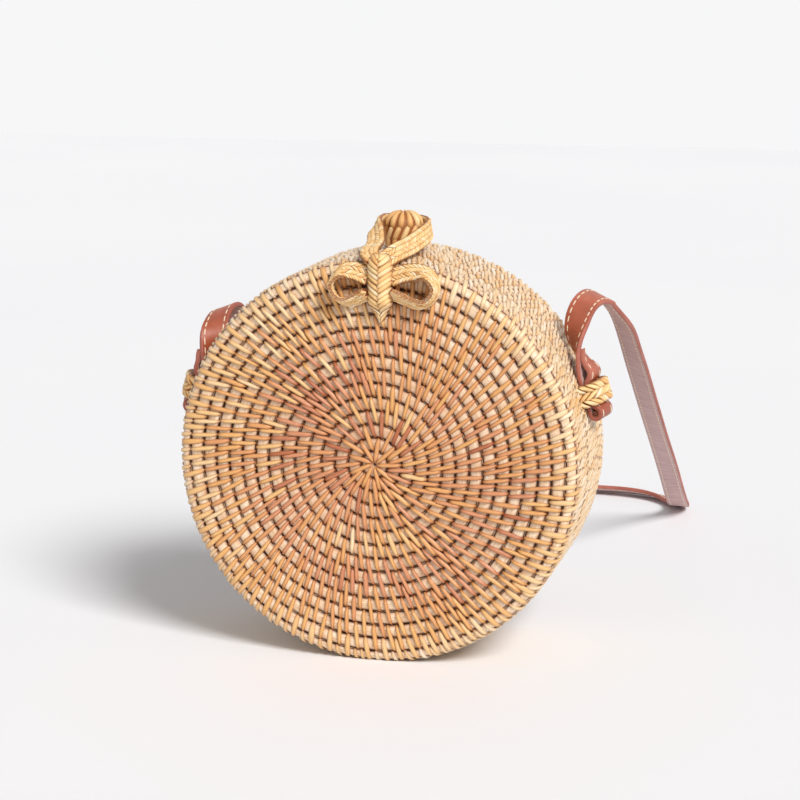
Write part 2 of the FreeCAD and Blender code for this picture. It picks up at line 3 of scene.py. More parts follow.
import bpy
import numpy as np
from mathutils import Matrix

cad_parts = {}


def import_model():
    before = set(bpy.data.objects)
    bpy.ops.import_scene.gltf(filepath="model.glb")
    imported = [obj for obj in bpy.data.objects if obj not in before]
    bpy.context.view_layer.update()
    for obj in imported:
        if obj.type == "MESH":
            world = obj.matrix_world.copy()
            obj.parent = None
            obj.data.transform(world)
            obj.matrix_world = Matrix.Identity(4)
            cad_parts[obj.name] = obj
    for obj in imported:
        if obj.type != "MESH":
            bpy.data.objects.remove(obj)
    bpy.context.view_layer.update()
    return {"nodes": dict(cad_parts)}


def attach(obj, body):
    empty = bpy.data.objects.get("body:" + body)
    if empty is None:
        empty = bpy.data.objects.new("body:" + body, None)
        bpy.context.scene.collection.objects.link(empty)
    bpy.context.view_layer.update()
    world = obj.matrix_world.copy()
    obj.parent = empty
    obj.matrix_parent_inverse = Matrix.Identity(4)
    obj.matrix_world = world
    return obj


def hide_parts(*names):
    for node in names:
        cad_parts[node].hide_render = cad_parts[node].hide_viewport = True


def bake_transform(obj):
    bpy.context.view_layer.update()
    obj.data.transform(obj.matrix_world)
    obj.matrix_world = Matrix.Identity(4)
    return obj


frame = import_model()
nodes = frame["nodes"]

# Sizes in millimetres, the same as in the part's source; pieces are turned into metres when they are made
MM = 0.001
BAG_RADIUS = 99.5
CENTRE_Z = 98.9
FRONT_Y = -40.0
REAR_Y = 40.0
PARTING_Y = -12.0
MOUTH_GAP = 0.15
BAND_EDGE = 4.25
RIM_ROUND = 5.5
FACE_RADIUS = BAG_RADIUS - RIM_ROUND
RIM_LENGTH = RIM_ROUND * math.pi / 2
FACE_COILS = 14
WALL_COILS = {"front": 4, "rear": 8}
HALF_FACE = {"front": FRONT_Y, "rear": REAR_Y}
CLASP_X = 4.0
BUTTON_Y = 4.0
BAG_TOP = CENTRE_Z + BAG_RADIUS
BOW_BACK_Y = FRONT_Y - 0.1
BOW_TOP_Z = BAG_TOP + 1.6
STRAP_WIDTH = 13.0
STRAP_THICKNESS = 2.4
STRAP_HALF = STRAP_THICKNESS / 2
STRAP_Y = 3.4
LOOP_ANGLE = {1: 18.0, -1: 14.5}
LOOP_HEIGHT = 9.5
END_TURN = 16.0
END_GAP = {1: 0.6, -1: 3.4}
RIGHT_LEFT = ((1, "right"), (-1, "left"))
LOWEST = 0.15
UP = np.array([0.0, 0.0, 1.0])
BACK = np.array([0.0, 1.0, 0.0])

chance = np.random.default_rng(7)
bpy.context.scene.tool_settings.mesh_select_mode = (False, True, False)


def smooth(share):
    share = np.clip(share, 0.0, 1.0)
    return share * share * (3 - 2 * share)


def unit(vectors):
    return vectors / np.linalg.norm(vectors, axis=-1, keepdims=True)


# Nodes of the materials

AS_VECTOR = 1
AS_NUMBER = 2
OBJECT_PLACE = 3
MIX_FACTOR, MIX_A, MIX_B = 0, 6, 7
MIX_RESULT = 2


class Paint:
    """A socket of a material's nodes, which can be reckoned with."""

    def __init__(self, finish, socket):
        self.finish = finish
        self.socket = socket

    def reckon(self, operation, a, b):
        return self.finish.node("ShaderNodeMath", {"operation": operation}, {0: a, 1: b})

    def __add__(self, other):
        return self.reckon("ADD", self, other)

    def __radd__(self, other):
        return self.reckon("ADD", other, self)

    def __sub__(self, other):
        return self.reckon("SUBTRACT", self, other)

    def __rsub__(self, other):
        return self.reckon("SUBTRACT", other, self)

    def __mul__(self, other):
        return self.reckon("MULTIPLY", self, other)

    def __rmul__(self, other):
        return self.reckon("MULTIPLY", other, self)

    def __pow__(self, other):
        return self.reckon("POWER", self, other)

    def __abs__(self):
        return self.reckon("ABSOLUTE", self, 0.0)


class Finish:
    """One material, or the world, made of nodes."""

    def __init__(self, name, kind=bpy.data.materials):
        self.material = kind.new(name)
        self.material.use_nodes = True
        self.nodes = self.material.node_tree.nodes
        self.links = self.material.node_tree.links
        self.shader = self.nodes.get("Principled BSDF")

    def node(self, kind, settings, sockets, output=0):
        """Add a node: its settings first, then the values or links of its sockets."""
        node = self.nodes.new(kind)
        for key, value in settings.items():
            if key == "stops":
                ramp = node.color_ramp
                while len(ramp.elements) < len(value):
                    ramp.elements.new(1.0)
                for element, (place, tint) in zip(ramp.elements, value):
                    element.position = place
                    element.color = (*tint, 1.0)
            else:
                setattr(node, key, value)
        for key, value in sockets.items():
            self.give(node.inputs[key], value)
        return Paint(self, node.outputs[output])

    def give(self, socket, value):
        if isinstance(value, Paint):
            self.links.new(value.socket, socket)
        else:
            socket.default_value = value

    def attribute(self, name, output=AS_NUMBER):
        return self.node("ShaderNodeAttribute", {"attribute_name": name}, {}, output)

    def place(self):
        return self.node("ShaderNodeTexCoord", {}, {}, OBJECT_PLACE)

    def parts(self, vector):
        return [self.node("ShaderNodeSeparateXYZ", {}, {0: vector}, i) for i in range(3)]

    def noise(self, vector, scale, detail=2.0):
        return self.node("ShaderNodeTexNoise", {}, {"Vector": vector, "Scale": scale, "Detail": detail})

    def stretched(self, vector, scale):
        return self.node("ShaderNodeMapping", {"vector_type": "POINT"}, {"Vector": vector, "Scale": scale})

    def ramp(self, factor, stops):
        return self.node("ShaderNodeValToRGB", {"stops": stops}, {"Fac": factor})

    def mix(self, factor, under, over):
        """One colour over another, each a socket or a plain colour."""
        under, over = (c if isinstance(c, Paint) else (*c, 1.0) for c in (under, over))
        settings = {"data_type": "RGBA", "blend_type": "MIX", "clamp_factor": True}
        sockets = {MIX_FACTOR: factor, MIX_A: under, MIX_B: over}
        return self.node("ShaderNodeMix", settings, sockets, MIX_RESULT)

    def ranged(self, value, low, high, to_low=0.0, to_high=1.0):
        sockets = {"Value": value, "From Min": low, "From Max": high, "To Min": to_low, "To Max": to_high}
        return self.node("ShaderNodeMapRange", {"clamp": True}, sockets)

    def bump(self, height, strength, distance):
        return self.node("ShaderNodeBump", {}, {"Strength": strength, "Distance": distance, "Height": height})

    def wear(self, **sockets):
        """Set or link the shader's own sockets, named with _ for a space."""
        for key, value in sockets.items():
            self.give(self.shader.inputs[key.replace("_", " ")], value)
        return self.material


# Colours

COLOUR_TOP = 255
DARK_TOP = 10


def colour(red, green, blue):
    """Linear colour of the 8-bit one that the eye sees."""
    shares = [(c / COLOUR_TOP, c <= DARK_TOP) for c in (red, green, blue)]
    return tuple((share / 12.92) if dark else ((share + 0.055) / 1.055) ** 2.4 for share, dark in shares)


CANE_STOPS = (
    (0.0, colour(180, 104, 66)), (0.18, colour(214, 146, 108)), (0.38, colour(222, 156, 102)),
    (0.58, colour(232, 174, 106)), (0.76, colour(240, 196, 136)), (0.9, colour(246, 218, 176)),
    (1.0, colour(250, 234, 208)),
)
BRAID_STOPS = (
    (0.0, colour(158, 94, 46)), (0.4, colour(236, 180, 112)), (0.7, colour(252, 214, 152)),
    (1.0, colour(252, 234, 198)),
)
CANE_SHADE = colour(132, 58, 12)
CORE_STOPS = ((0.3, colour(198, 148, 108)), (0.5, colour(232, 196, 158)), (0.7, colour(252, 232, 206)))
CORE_CENTRE = colour(216, 168, 132)
# Painted shade for the coil's sides and for the furrows between the coils
CORE_SHADE = colour(140, 70, 24)
FURROW_SHADE = colour(50, 21, 5)
HOOP_STOPS = ((0.3, colour(196, 160, 118)), (0.7, colour(240, 220, 186)))
PEG_STOPS = ((0.3, colour(84, 42, 28)), (0.7, colour(120, 66, 44)))
GRAIN_STOPS = ((0.3, colour(146, 70, 44)), (0.5, colour(166, 84, 56)), (0.7, colour(184, 102, 74)))
FLESH_STOPS = ((0.32, colour(176, 144, 144)), (0.55, colour(202, 170, 168)), (0.75, colour(214, 184, 182)))
RAW_EDGE_STOPS = ((0.3, colour(154, 82, 66)), (0.7, colour(180, 108, 92)))
THREAD_STOPS = ((0.3, colour(214, 190, 160)), (0.7, colour(244, 230, 208)))
CORD_STOPS = ((0.1, colour(150, 106, 62)), (0.8, colour(212, 172, 118)))
COTTON_STOPS = ((0.3, colour(198, 178, 148)), (0.6, colour(226, 210, 184)), (0.8, colour(238, 226, 204)))
FLOOR_STOPS = ((0.3, colour(245, 246, 250)), (0.7, colour(249, 250, 253)))


# Materials

NOISE_SPAN = (0.3, 0.7)
CANE_GLOSS = 0.45
CANE_STREAKS = 0.42
CANE_END_SHADE = 0.7
CANE_EDGE_SHADE = 0.46
CORE_INMOST = (1.0, 10.0)
CORE_SIDE_SHADE = (0.26, 0.44)
CORE_FURROW_SHADE = (0.36, 0.46)
GRAIN_TO_FLESH = 0.2
COTTON_THREADS = 7.0


def cane_finish(name, stops, roughness):
    """Split cane: the tone of each strip, fibres along it, and shade where its ends go under."""
    finish = Finish(name)
    fibre = finish.attribute("fibre", AS_VECTOR)
    along, across, _ = finish.parts(fibre)
    streaks = finish.noise(finish.stretched(fibre, (0.7, 3.2, 1.0)), scale=2.2, detail=3.0)
    tone = finish.attribute("tone") + (streaks - 0.5) * CANE_STREAKS
    shade = abs(along) ** 5.0 * CANE_END_SHADE + finish.ranged(abs(across), 0.45, 1.0, 0.0, CANE_EDGE_SHADE)
    fine = finish.noise(finish.stretched(fibre, (0.5, 9.0, 1.0)), scale=3.0)
    return finish.wear(
        Base_Color=finish.mix(shade, finish.ramp(tone, stops), CANE_SHADE),
        Roughness=finish.ranged(streaks, *NOISE_SPAN, roughness - 0.08, roughness + 0.1),
        Normal=finish.bump(fine, strength=0.25, distance=0.3 * MM),
        Specular_IOR_Level=CANE_GLOSS,
    )


def core_finish():
    """Coil of the core: pale, streaked along, with painted shade on its sides and in the furrows beside it.
    """
    finish = Finish("coil_core")
    fibre = finish.attribute("fibre", AS_VECTOR)
    streaks = finish.noise(finish.stretched(fibre, (1.0, 1.0, 7.0)), scale=2.0, detail=4.0)
    patches = finish.noise(finish.stretched(fibre, (4.0, 4.0, 1.0)), scale=1.0)
    body = finish.ramp(streaks * 0.6 + patches * 0.5, CORE_STOPS)
    inmost = finish.ranged(finish.attribute("ring"), *CORE_INMOST, 0.6, 0.0)
    body = finish.mix(inmost, body, CORE_CENTRE)
    # Painted shade: the coil's sides are darkened and its furrows painted near-black, for the shade in the
    # grooves between coils
    edge = abs(finish.attribute("across") - 0.5)
    shade = finish.mix(finish.ranged(edge, *CORE_SIDE_SHADE, 0.0, 0.75), body, CORE_SHADE)
    furrow_shade = finish.ranged(edge, *CORE_FURROW_SHADE, 0.0, 0.95)
    return finish.wear(
        Base_Color=finish.mix(furrow_shade, shade, FURROW_SHADE),
        Roughness=finish.ranged(streaks, *NOISE_SPAN, 0.3, 0.48),
        Normal=finish.bump(streaks, strength=0.35, distance=0.4 * MM),
        Specular_IOR_Level=CANE_GLOSS,
    )


def wood_finish(name, stops):
    """Whole cane or wood, streaked from front to back."""
    finish = Finish(name)
    streaks = finish.noise(finish.stretched(finish.place(), (220.0, 1800.0, 220.0)), scale=1.0, detail=3.0)
    return finish.wear(
        Base_Color=finish.ramp(streaks, stops),
        Roughness=finish.ranged(streaks, *NOISE_SPAN, 0.5, 0.7),
        Normal=finish.bump(streaks, strength=0.3, distance=0.4 * MM),
    )


def leather_finish():
    """Strap leather: glazed tan grain outside, pale flesh side, raw pink edges."""
    finish = Finish("strap_leather")
    place = finish.place()
    fibre = finish.attribute("fibre", AS_VECTOR)
    side = finish.attribute("side")
    cells = finish.node("ShaderNodeTexVoronoi", {"feature": "DISTANCE_TO_EDGE"},
                        {"Vector": place, "Scale": 900.0})
    clouds = finish.noise(place, scale=60.0, detail=4.0)
    grain = finish.noise(place, scale=2400.0, detail=3.0)
    creases = finish.noise(finish.stretched(fibre, (0.5, 0.08, 1.0)), scale=1.3, detail=4.0)
    under = finish.ramp(creases * 0.6 + grain * 0.4, FLESH_STOPS)
    outside = finish.ranged(side, -GRAIN_TO_FLESH, GRAIN_TO_FLESH)
    face = finish.mix(outside, under, finish.ramp(clouds, GRAIN_STOPS))
    raw = finish.ranged(abs(side), 0.3, 0.75, 1.0, 0.0)
    height = finish.ranged(cells, 0.0, 0.25) * 0.6 + grain * 0.5
    return finish.wear(
        Base_Color=finish.mix(raw, face, finish.ramp(clouds, RAW_EDGE_STOPS)),
        Roughness=finish.ranged(side, -0.4, 0.4, 0.74, 0.42) + (grain - 0.5) * 0.16,
        Normal=finish.bump(height, strength=0.3, distance=0.3 * MM),
    )


def thread_finish():
    finish = Finish("cream_thread")
    fibre = finish.attribute("fibre", AS_VECTOR)
    twist = finish.noise(finish.stretched(fibre, (3.0, 3.0, 1.0)), scale=2.0)
    return finish.wear(
        Base_Color=finish.ramp(twist, THREAD_STOPS),
        Roughness=0.75,
        Normal=finish.bump(twist, strength=0.4, distance=0.2 * MM),
    )


def cord_finish():
    finish = Finish("twisted_cord")
    twist = finish.node(
        "ShaderNodeTexWave", {"wave_type": "BANDS", "bands_direction": "DIAGONAL"},
        {"Vector": finish.place(), "Scale": 420.0, "Distortion": 1.5, "Detail": 2.0})
    return finish.wear(
        Base_Color=finish.ramp(twist, CORD_STOPS),
        Roughness=0.8,
        Normal=finish.bump(twist, strength=0.5, distance=0.6 * MM),
    )


def lining_finish():
    """Plain cotton: fine crossed threads on the cloth's own map."""
    finish = Finish("cotton_lining")
    fibre = finish.attribute("fibre", AS_VECTOR)
    along, across, _ = finish.parts(fibre)
    warp, weft = (finish.node("ShaderNodeMath", {"operation": "SINE"}, {0: way * COTTON_THREADS})
                  for way in (along, across))
    weave = warp * weft
    slubs = finish.noise(finish.stretched(fibre, (0.4, 0.08, 1.0)), scale=1.5, detail=4.0)
    return finish.wear(
        Base_Color=finish.ramp(slubs * 0.7 + weave * 0.12 + 0.15, COTTON_STOPS),
        Roughness=0.9,
        Normal=finish.bump(weave + slubs, strength=0.3, distance=0.2 * MM),
    )


CANE = cane_finish("split_cane", CANE_STOPS, roughness=0.34)
BRAID = cane_finish("braided_cane", BRAID_STOPS, roughness=0.55)
CORE = core_finish()
HOOP = wood_finish("hoop_cane", HOOP_STOPS)
PEG = wood_finish("peg_wood", PEG_STOPS)
LEATHER = leather_finish()
THREAD = thread_finish()
CORD = cord_finish()
LINING = lining_finish()


# Working on meshes

SHARP_ANGLE = 75.0


def edit(made):
    bpy.ops.object.select_all(action="DESELECT")
    bpy.context.view_layer.objects.active = made
    made.select_set(True)
    bpy.ops.object.mode_set(mode="EDIT")


def leave():
    bpy.ops.object.mode_set(mode="OBJECT")


def pick_edges(made, wanted):
    """Select the edges whose two ends, in millimetres, are as wanted."""
    mesh = made.data
    for kind in (mesh.vertices, mesh.edges, mesh.polygons):
        kind.foreach_set("select", [False] * len(kind))
    places = points_of(made)
    for edge in mesh.edges:
        edge.select = bool(wanted(places[edge.vertices[0]], places[edge.vertices[1]]))


def points_of(made):
    flat = np.empty(len(made.data.vertices) * 3)
    made.data.vertices.foreach_get("co", flat)
    return flat.reshape(-1, 3) / MM


def place_points(made, points):
    made.data.vertices.foreach_set("co", (np.asarray(points, float) * MM).ravel())
    made.data.update()


def keep_values(made, **values):
    """Give each point of a mesh its own values, for the materials."""
    for key, own in values.items():
        own = np.asarray(own, np.float32)
        kind, field = ("FLOAT", "value") if own.ndim == 1 else ("FLOAT_VECTOR", "vector")
        made.data.attributes.new(key, kind, "POINT").data.foreach_set(field, own.ravel())


def values_of(made, key):
    own = np.empty(len(made.data.vertices), np.float32)
    made.data.attributes[key].data.foreach_get("value", own)
    return own


def finished(made, finish, body=None, stands_for=(), slot=None):
    """Outward faces, smooth shading, a material, a place among the frame's bodies, and the CAD nodes that it
    stands for hidden.
    """
    edit(made)
    bpy.ops.mesh.select_all(action="SELECT")
    bpy.ops.mesh.normals_make_consistent(inside=False)
    leave()
    bpy.ops.object.shade_smooth_by_angle(angle=math.radians(SHARP_ANGLE))
    made.select_set(False)
    made.data.materials.clear()
    made.data.materials.append(finish)
    if body:
        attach(made, body)
    if stands_for:
        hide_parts(*stands_for)
    return made


# Strips of split cane

STRIP_CUTS = (-0.88, -0.66, -0.34, 0.0, 0.34, 0.66, 0.88)
STRIP_SIDES = 6
STRIP_BELOW = 0.4
FIBRE_RANGE = 60


def model_strip():
    """One strip: a six-sided bar along X, cut across so that it can bend, and flat below."""
    bpy.ops.object.select_all(action="DESELECT")
    bpy.ops.mesh.primitive_cylinder_add(
        vertices=STRIP_SIDES, radius=1.0, depth=2.0, end_fill_type="NGON", rotation=(0.0, math.pi / 2, 0.0))
    strip = bpy.context.object
    bpy.ops.object.transform_apply(location=False, rotation=True, scale=False)
    edit(strip)
    for cut in STRIP_CUTS:
        bpy.ops.mesh.select_all(action="SELECT")
        bpy.ops.mesh.bisect(plane_co=(cut, 0.0, 0.0), plane_no=(1.0, 0.0, 0.0))
    leave()
    points = points_of(strip) * MM
    faces = [tuple(face.vertices) for face in strip.data.polygons]
    bpy.data.objects.remove(strip)
    points[:, 2] = np.where(points[:, 2] < 0, points[:, 2] * STRIP_BELOW, points[:, 2])
    return points, faces


STRIP_POINTS, STRIP_FACES = model_strip()


class Strips:
    """Copies of the strip: along and across run from -1 to 1, and up is 0 to 1 over the flat side."""

    def __init__(self, count):
        self.count = count
        self.along, self.across, self.up = (
            np.repeat(STRIP_POINTS[None, :, i], count, 0) for i in range(3))

    def column(self, values):
        """One value for each copy, ready to meet the values of its points."""
        return np.broadcast_to(np.asarray(values, float), (self.count,))[:, None]

    def laid(self, points, tones):
        """Keep the points and tones of the copies, and where each is in the pattern of fibres."""
        own = self.column(chance.uniform(0, FIBRE_RANGE, self.count)) + 0 * self.along
        self.fibre = np.stack([self.along, self.across, own], -1).reshape(-1, 3)
        self.points = points.reshape(-1, 3)
        self.tones = (self.column(tones) + 0 * self.along).ravel()
        return self


def strip_piece(name, lots, finish, **places):
    """Lots of laid strips as one mesh."""
    size = len(STRIP_POINTS)
    count = sum(lot.count for lot in lots)
    faces = [tuple(v + n * size for v in face) for n in range(count) for face in STRIP_FACES]
    mesh = bpy.data.meshes.new(name)
    mesh.from_pydata((np.concatenate([lot.points for lot in lots]) * MM).tolist(), [], faces)
    made = bpy.data.objects.new(name, mesh)
    bpy.context.scene.collection.objects.link(made)
    keep_values(made, tone=np.concatenate([lot.tones for lot in lots]),
                fibre=np.concatenate([lot.fibre for lot in lots]))
    return finished(made, finish, **places)


# Spun shapes

AXIS_Y = (0.0, 1.0, 0.0)
AXIS_Z = (0.0, 0.0, 1.0)
SAME_POINT = 0.002


def spun(name, sections, steps, centre, axis, **values):
    """Closed outlines, each with a value for its points, turned all the way round an axis."""
    loops = []
    for i, section in enumerate(sections):
        bpy.ops.object.select_all(action="DESELECT")
        bpy.ops.mesh.primitive_circle_add(vertices=len(section), radius=1.0, fill_type="NOTHING")
        loops.append(bpy.context.object)
        place_points(loops[-1], section)
        keep_values(loops[-1], **{key: own[i] for key, own in values.items()})
    for loop in loops:
        loop.select_set(True)
    bpy.context.view_layer.objects.active = loops[0]
    if len(loops) > 1:
        bpy.ops.object.join()
    made = loops[0]
    made.name = name
    edit(made)
    bpy.ops.mesh.select_all(action="SELECT")
    bpy.ops.mesh.spin(steps=steps, angle=2 * math.pi, center=[c * MM for c in centre], axis=axis)
    bpy.ops.mesh.select_all(action="SELECT")
    bpy.ops.mesh.remove_doubles(threshold=SAME_POINT * MM)
    leave()
    return made


# Coiled core of the bag

CENTRE = (0.0, 0.0, CENTRE_Z)
FACE_END_GAP = 0.1
WALL_START = 1.0
WALL_EASE = 9.0
COIL_STEPS = 128
COIL_SECTION = np.array((
    (0.0, -1.9), (0.05, -0.95), (0.15, -0.36), (0.32, -0.04), (0.5, 0.04), (0.68, -0.04), (0.85, -0.36),
    (0.95, -0.95), (1.0, -1.9), (1.0, -3.4), (0.5, -3.4), (0.0, -3.4),
))
CORE_FIBRE_SCALE = 0.06
CORE_FIBRE_RINGS = 5.1


def rim_turn(distance):
    """How far round the rim's bend a distance from the middle of a face goes."""
    return np.clip((distance - FACE_RADIUS) / RIM_ROUND, 0.0, math.pi / 2)


def bag_radius(distance):
    return np.minimum(distance, FACE_RADIUS) + RIM_ROUND * np.sin(rim_turn(distance))


def skin(face_y, distance, angle, lift):
    """Point over the bag's outside, so far from the middle of a face, out over the rim and along the wall."""
    out = math.copysign(1.0, face_y)
    turn = rim_turn(distance)
    depth = RIM_ROUND * (1 - np.cos(turn)) + np.maximum(distance - FACE_RADIUS - RIM_LENGTH, 0.0)
    radius = np.maximum(bag_radius(distance) + lift * np.sin(turn), 0.0)
    depth = depth - lift * np.cos(turn)
    z = np.maximum(CENTRE_Z + radius * np.sin(angle), LOWEST)
    return np.stack(np.broadcast_arrays(radius * np.cos(angle), face_y - out * depth, z), -1)


def mouth_distance(word):
    return FACE_RADIUS + RIM_LENGTH + abs(HALF_FACE[word] - PARTING_Y) - RIM_ROUND - MOUTH_GAP


def coil_edges(word):
    """Distances of the furrows between the coils, from the middle of the face to the mouth's hoop."""
    end = mouth_distance(word) + MOUTH_GAP - BAND_EDGE
    face = np.linspace(0.0, FACE_RADIUS - FACE_END_GAP, FACE_COILS + 1)
    return np.r_[face, np.linspace(FACE_RADIUS, end, WALL_COILS[word] + 1)[1:]]


def on_wall(distance):
    """0 on the face, 1 on the side wall."""
    return smooth((distance - FACE_RADIUS - WALL_START) / WALL_EASE)


def coils(word):
    """The core: rings of cane side by side from the middle of the face to the mouth's hoop."""
    face_y = HALF_FACE[word]
    across, lift = COIL_SECTION.T
    edges = coil_edges(word)
    sections = [skin(face_y, a + (b - a) * across, 0.0, lift) for a, b in zip(edges, edges[1:])]
    rings = range(len(sections))
    made = spun(word + "_core", sections, COIL_STEPS, CENTRE, AXIS_Y,
                across=[across for _ in rings], ring=[np.full(len(across), float(i)) for i in rings])
    points = points_of(made)
    points[:, 2] = np.maximum(points[:, 2], LOWEST)
    place_points(made, points)
    fibre = np.stack([points[:, 0] * CORE_FIBRE_SCALE, (points[:, 2] - CENTRE_Z) * CORE_FIBRE_SCALE,
                      values_of(made, "ring") * CORE_FIBRE_RINGS + values_of(made, "across")], -1)
    keep_values(made, fibre=fibre)
    return finished(made, CORE, word + "_half", (word + "_face_panel", word + "_side_band"), "cane")


# Stitches over the coils

FIRST_STITCHES = 9
STITCH_SPACING = 5.9
RIM_STITCH_SPACING = 7.9
WALL_STITCH_SPACING = 4.3
GAP_CHANCE = 0.3
PAIR_PLACES = (0.3, 0.7)
LONE_PLACE = (0.5,)
ROW_JITTER = 0.35
JITTER_RADIUS = 12.0
STITCH_LEAN = np.array(((5.0, 4.0), (25.0, 13.0), (60.0, 12.0), (FACE_RADIUS, 9.0)))
WALL_LEAN = 5.0
LEAN_JITTER = 0.045

STRAND_RUN = (4, 18)
STRAND_TONES = (0.10, 0.22, 0.32, 0.42, 0.52, 0.62, 0.72)
STRAND_ODDS = (0.05, 0.15, 0.19, 0.21, 0.19, 0.14, 0.07)
TONE_JITTER = 0.07
CENTRE_TONE = 0.5
CENTRE_REACH = 20.0
# Paler stitches on the rim and wall: partly paler cane, partly painted light on the wall
PALE_AND_LIT_TONE = 0.93
PALE_AND_LIT_SHARE = 0.9
PALE_AND_LIT_START = 78.0
PALE_AND_LIT_EASE = 26.0

STITCH_WIDTH = 2.15
RIM_WIDER = 0.5
WALL_NARROWER = 0.6
WIDTH_JITTER = 0.16
END_TAPER = 0.45
STITCH_TUCK = 0.25
CENTRE_SHORTER = 0.85
CENTRE_ROW = 10
MIDDLE_HOLE = 0.5
LEAST_RADIUS = 3.0
RIM_START = -8.0
RIM_EASE = 9.0
RIM_LOWER = 0.4
STITCH_ARCH = 0.42
STITCH_WAVE = 0.12
STITCH_HEIGHT = 1.0
HEIGHT_JITTER = 0.08
END_THINNER = 0.35
DIVE_DEPTH = 1.9
DIVE_START = 0.72
DIVE_LENGTH = 0.28
DIVE_POWER = 1.3
MOUTH_CLEARANCE = 0.1


def stitch_slant(distance):
    """How far a stitch leans from straight outwards."""
    return np.radians(np.interp(distance, *STITCH_LEAN.T) + WALL_LEAN * on_wall(distance))


def next_row(row, last, distance, hand):
    """Angles of stitches between those of the row before: one in each gap, and two in the widest gaps."""
    radius = float(bag_radius(distance))
    spacing = STITCH_SPACING + (RIM_STITCH_SPACING - STITCH_SPACING) * radius / BAG_RADIUS
    if distance > FACE_RADIUS + RIM_LENGTH:
        spacing = WALL_STITCH_SPACING
    wanted = max(round(2 * math.pi * radius / spacing), len(row))
    gaps = np.diff(np.r_[row, row[0] + 2 * math.pi])
    widest = np.argsort(-gaps - chance.uniform(0, GAP_CHANCE, len(row)) * gaps.mean())
    doubled = np.zeros(len(row), bool)
    doubled[widest[:wanted - len(row)]] = True
    angles = [start + gap * share for start, gap, two in zip(row, gaps, doubled)
              for share in (PAIR_PLACES if two else LONE_PLACE)]
    drift = math.tan(float(stitch_slant(distance))) * (distance - last) / radius * hand
    return np.array(angles) + drift


def stitch_rows(edges, hand):
    """Angles of the stitches over each furrow."""
    rows = []
    row = np.arange(FIRST_STITCHES) * 2 * math.pi / FIRST_STITCHES
    for last, distance in zip(edges, edges[1:]):
        if rows:
            row = next_row(row, last, distance, hand)
        row = row + chance.normal(0, ROW_JITTER, len(row)) / max(float(bag_radius(distance)), JITTER_RADIUS)
        rows.append(row)
    return rows


def strand_tones(distance):
    """Tone of each stitch: runs sewn with one strand share a tone, and the rim and wall are paler, partly as
    paler cane and partly as painted light on the brightly lit wall.
    """
    count = len(distance)
    tones = np.zeros(count)
    i = 0
    while i < count:
        run = int(chance.integers(*STRAND_RUN))
        tones[i:i + run] = chance.choice(STRAND_TONES, p=STRAND_ODDS)
        i += run
    tones += chance.normal(0, TONE_JITTER, count)
    middle = np.clip(1 - distance / CENTRE_REACH, 0, 1)
    tones = tones * (1 - middle) + CENTRE_TONE * middle
    # Partly painted light: the wall's stitches are paler for the brighter light on the wall, as well as for
    # paler cane
    pale = np.clip((distance - PALE_AND_LIT_START) / PALE_AND_LIT_EASE, 0, 1) * PALE_AND_LIT_SHARE
    return tones * (1 - pale) + pale * (PALE_AND_LIT_TONE + chance.normal(0, TONE_JITTER, count))


def stitches(word, hand):
    """Strips that each go over one furrow and dive into the furrows beside it."""
    edges = coil_edges(word)
    rows = stitch_rows(edges, hand)
    mouth = mouth_distance(word) - MOUTH_CLEARANCE
    ends = np.r_[edges, mouth]

    def by_row(values):
        return np.concatenate([np.full(len(row), value) for row, value in zip(rows, values)])

    middle = by_row(edges[1:])
    strips = Strips(len(middle))
    column = strips.column
    along, across, up = strips.along, strips.across, strips.up
    size = np.abs(along)
    inner = column(middle - by_row(ends[:-2]) + STITCH_TUCK - CENTRE_SHORTER * (middle < CENTRE_ROW))
    outer = column(np.minimum(by_row(ends[2:]) - middle + STITCH_TUCK, mouth - middle))
    reach = np.where(along > 0, along * outer, along * inner)
    distance = np.maximum(column(middle) + reach, MIDDLE_HOLE)
    radius = np.maximum(bag_radius(distance), LEAST_RADIUS)
    rim = smooth((middle - FACE_RADIUS - RIM_START) / RIM_EASE)
    width = STITCH_WIDTH + RIM_WIDER * rim - WALL_NARROWER * on_wall(middle)
    width = width + chance.normal(0, WIDTH_JITTER, strips.count)
    width = column(width) * (1 - END_TAPER * size ** 5)
    slant = column(np.tan(stitch_slant(middle) + chance.normal(0, LEAN_JITTER, strips.count)) * hand)
    angle = column(np.concatenate(rows)) + (slant * reach + across * width / 2) / radius
    dive = DIVE_DEPTH * np.maximum(size - DIVE_START, 0) ** DIVE_POWER / DIVE_LENGTH ** DIVE_POWER
    bend = STITCH_ARCH - STITCH_WAVE * np.cos(along * 2 * math.pi) - dive
    height = column(STITCH_HEIGHT - RIM_LOWER * rim + chance.normal(0, HEIGHT_JITTER, strips.count))
    lift = bend * column(1 - RIM_LOWER * rim) + height * up * (1 - END_THINNER * along ** 6)
    strips.laid(skin(HALF_FACE[word], distance, angle, lift), strand_tones(middle))
    return strip_piece(word + "_stitches", [strips], CANE, body=word + "_half", slot="cane")


# Lining

LINING_OUTSIDE = -3.75
LINING_INSIDE = -4.3
LINING_HEM = 6.1
LINING_POINTS = 50
LINING_STEPS = 160
SMALL_GATHERS = (0.16, 34)
WIDE_GATHERS = (0.09, 13)
GATHER_DRIFT = (2, 5)
GATHER_START = 70
GATHER_EASE = 30
SEAM = 1.0
CUT_WALLS = (2.6, 1.0)


def gathers(angle):
    """How far the cloth is drawn inwards, in uneven small folds and even wide ones."""
    (small, many), (wide, few), (drift, waves) = SMALL_GATHERS, WIDE_GATHERS, GATHER_DRIFT
    return small * np.sin(angle * many + drift * np.sin(angle * waves)) + wide * np.sin(angle * few)


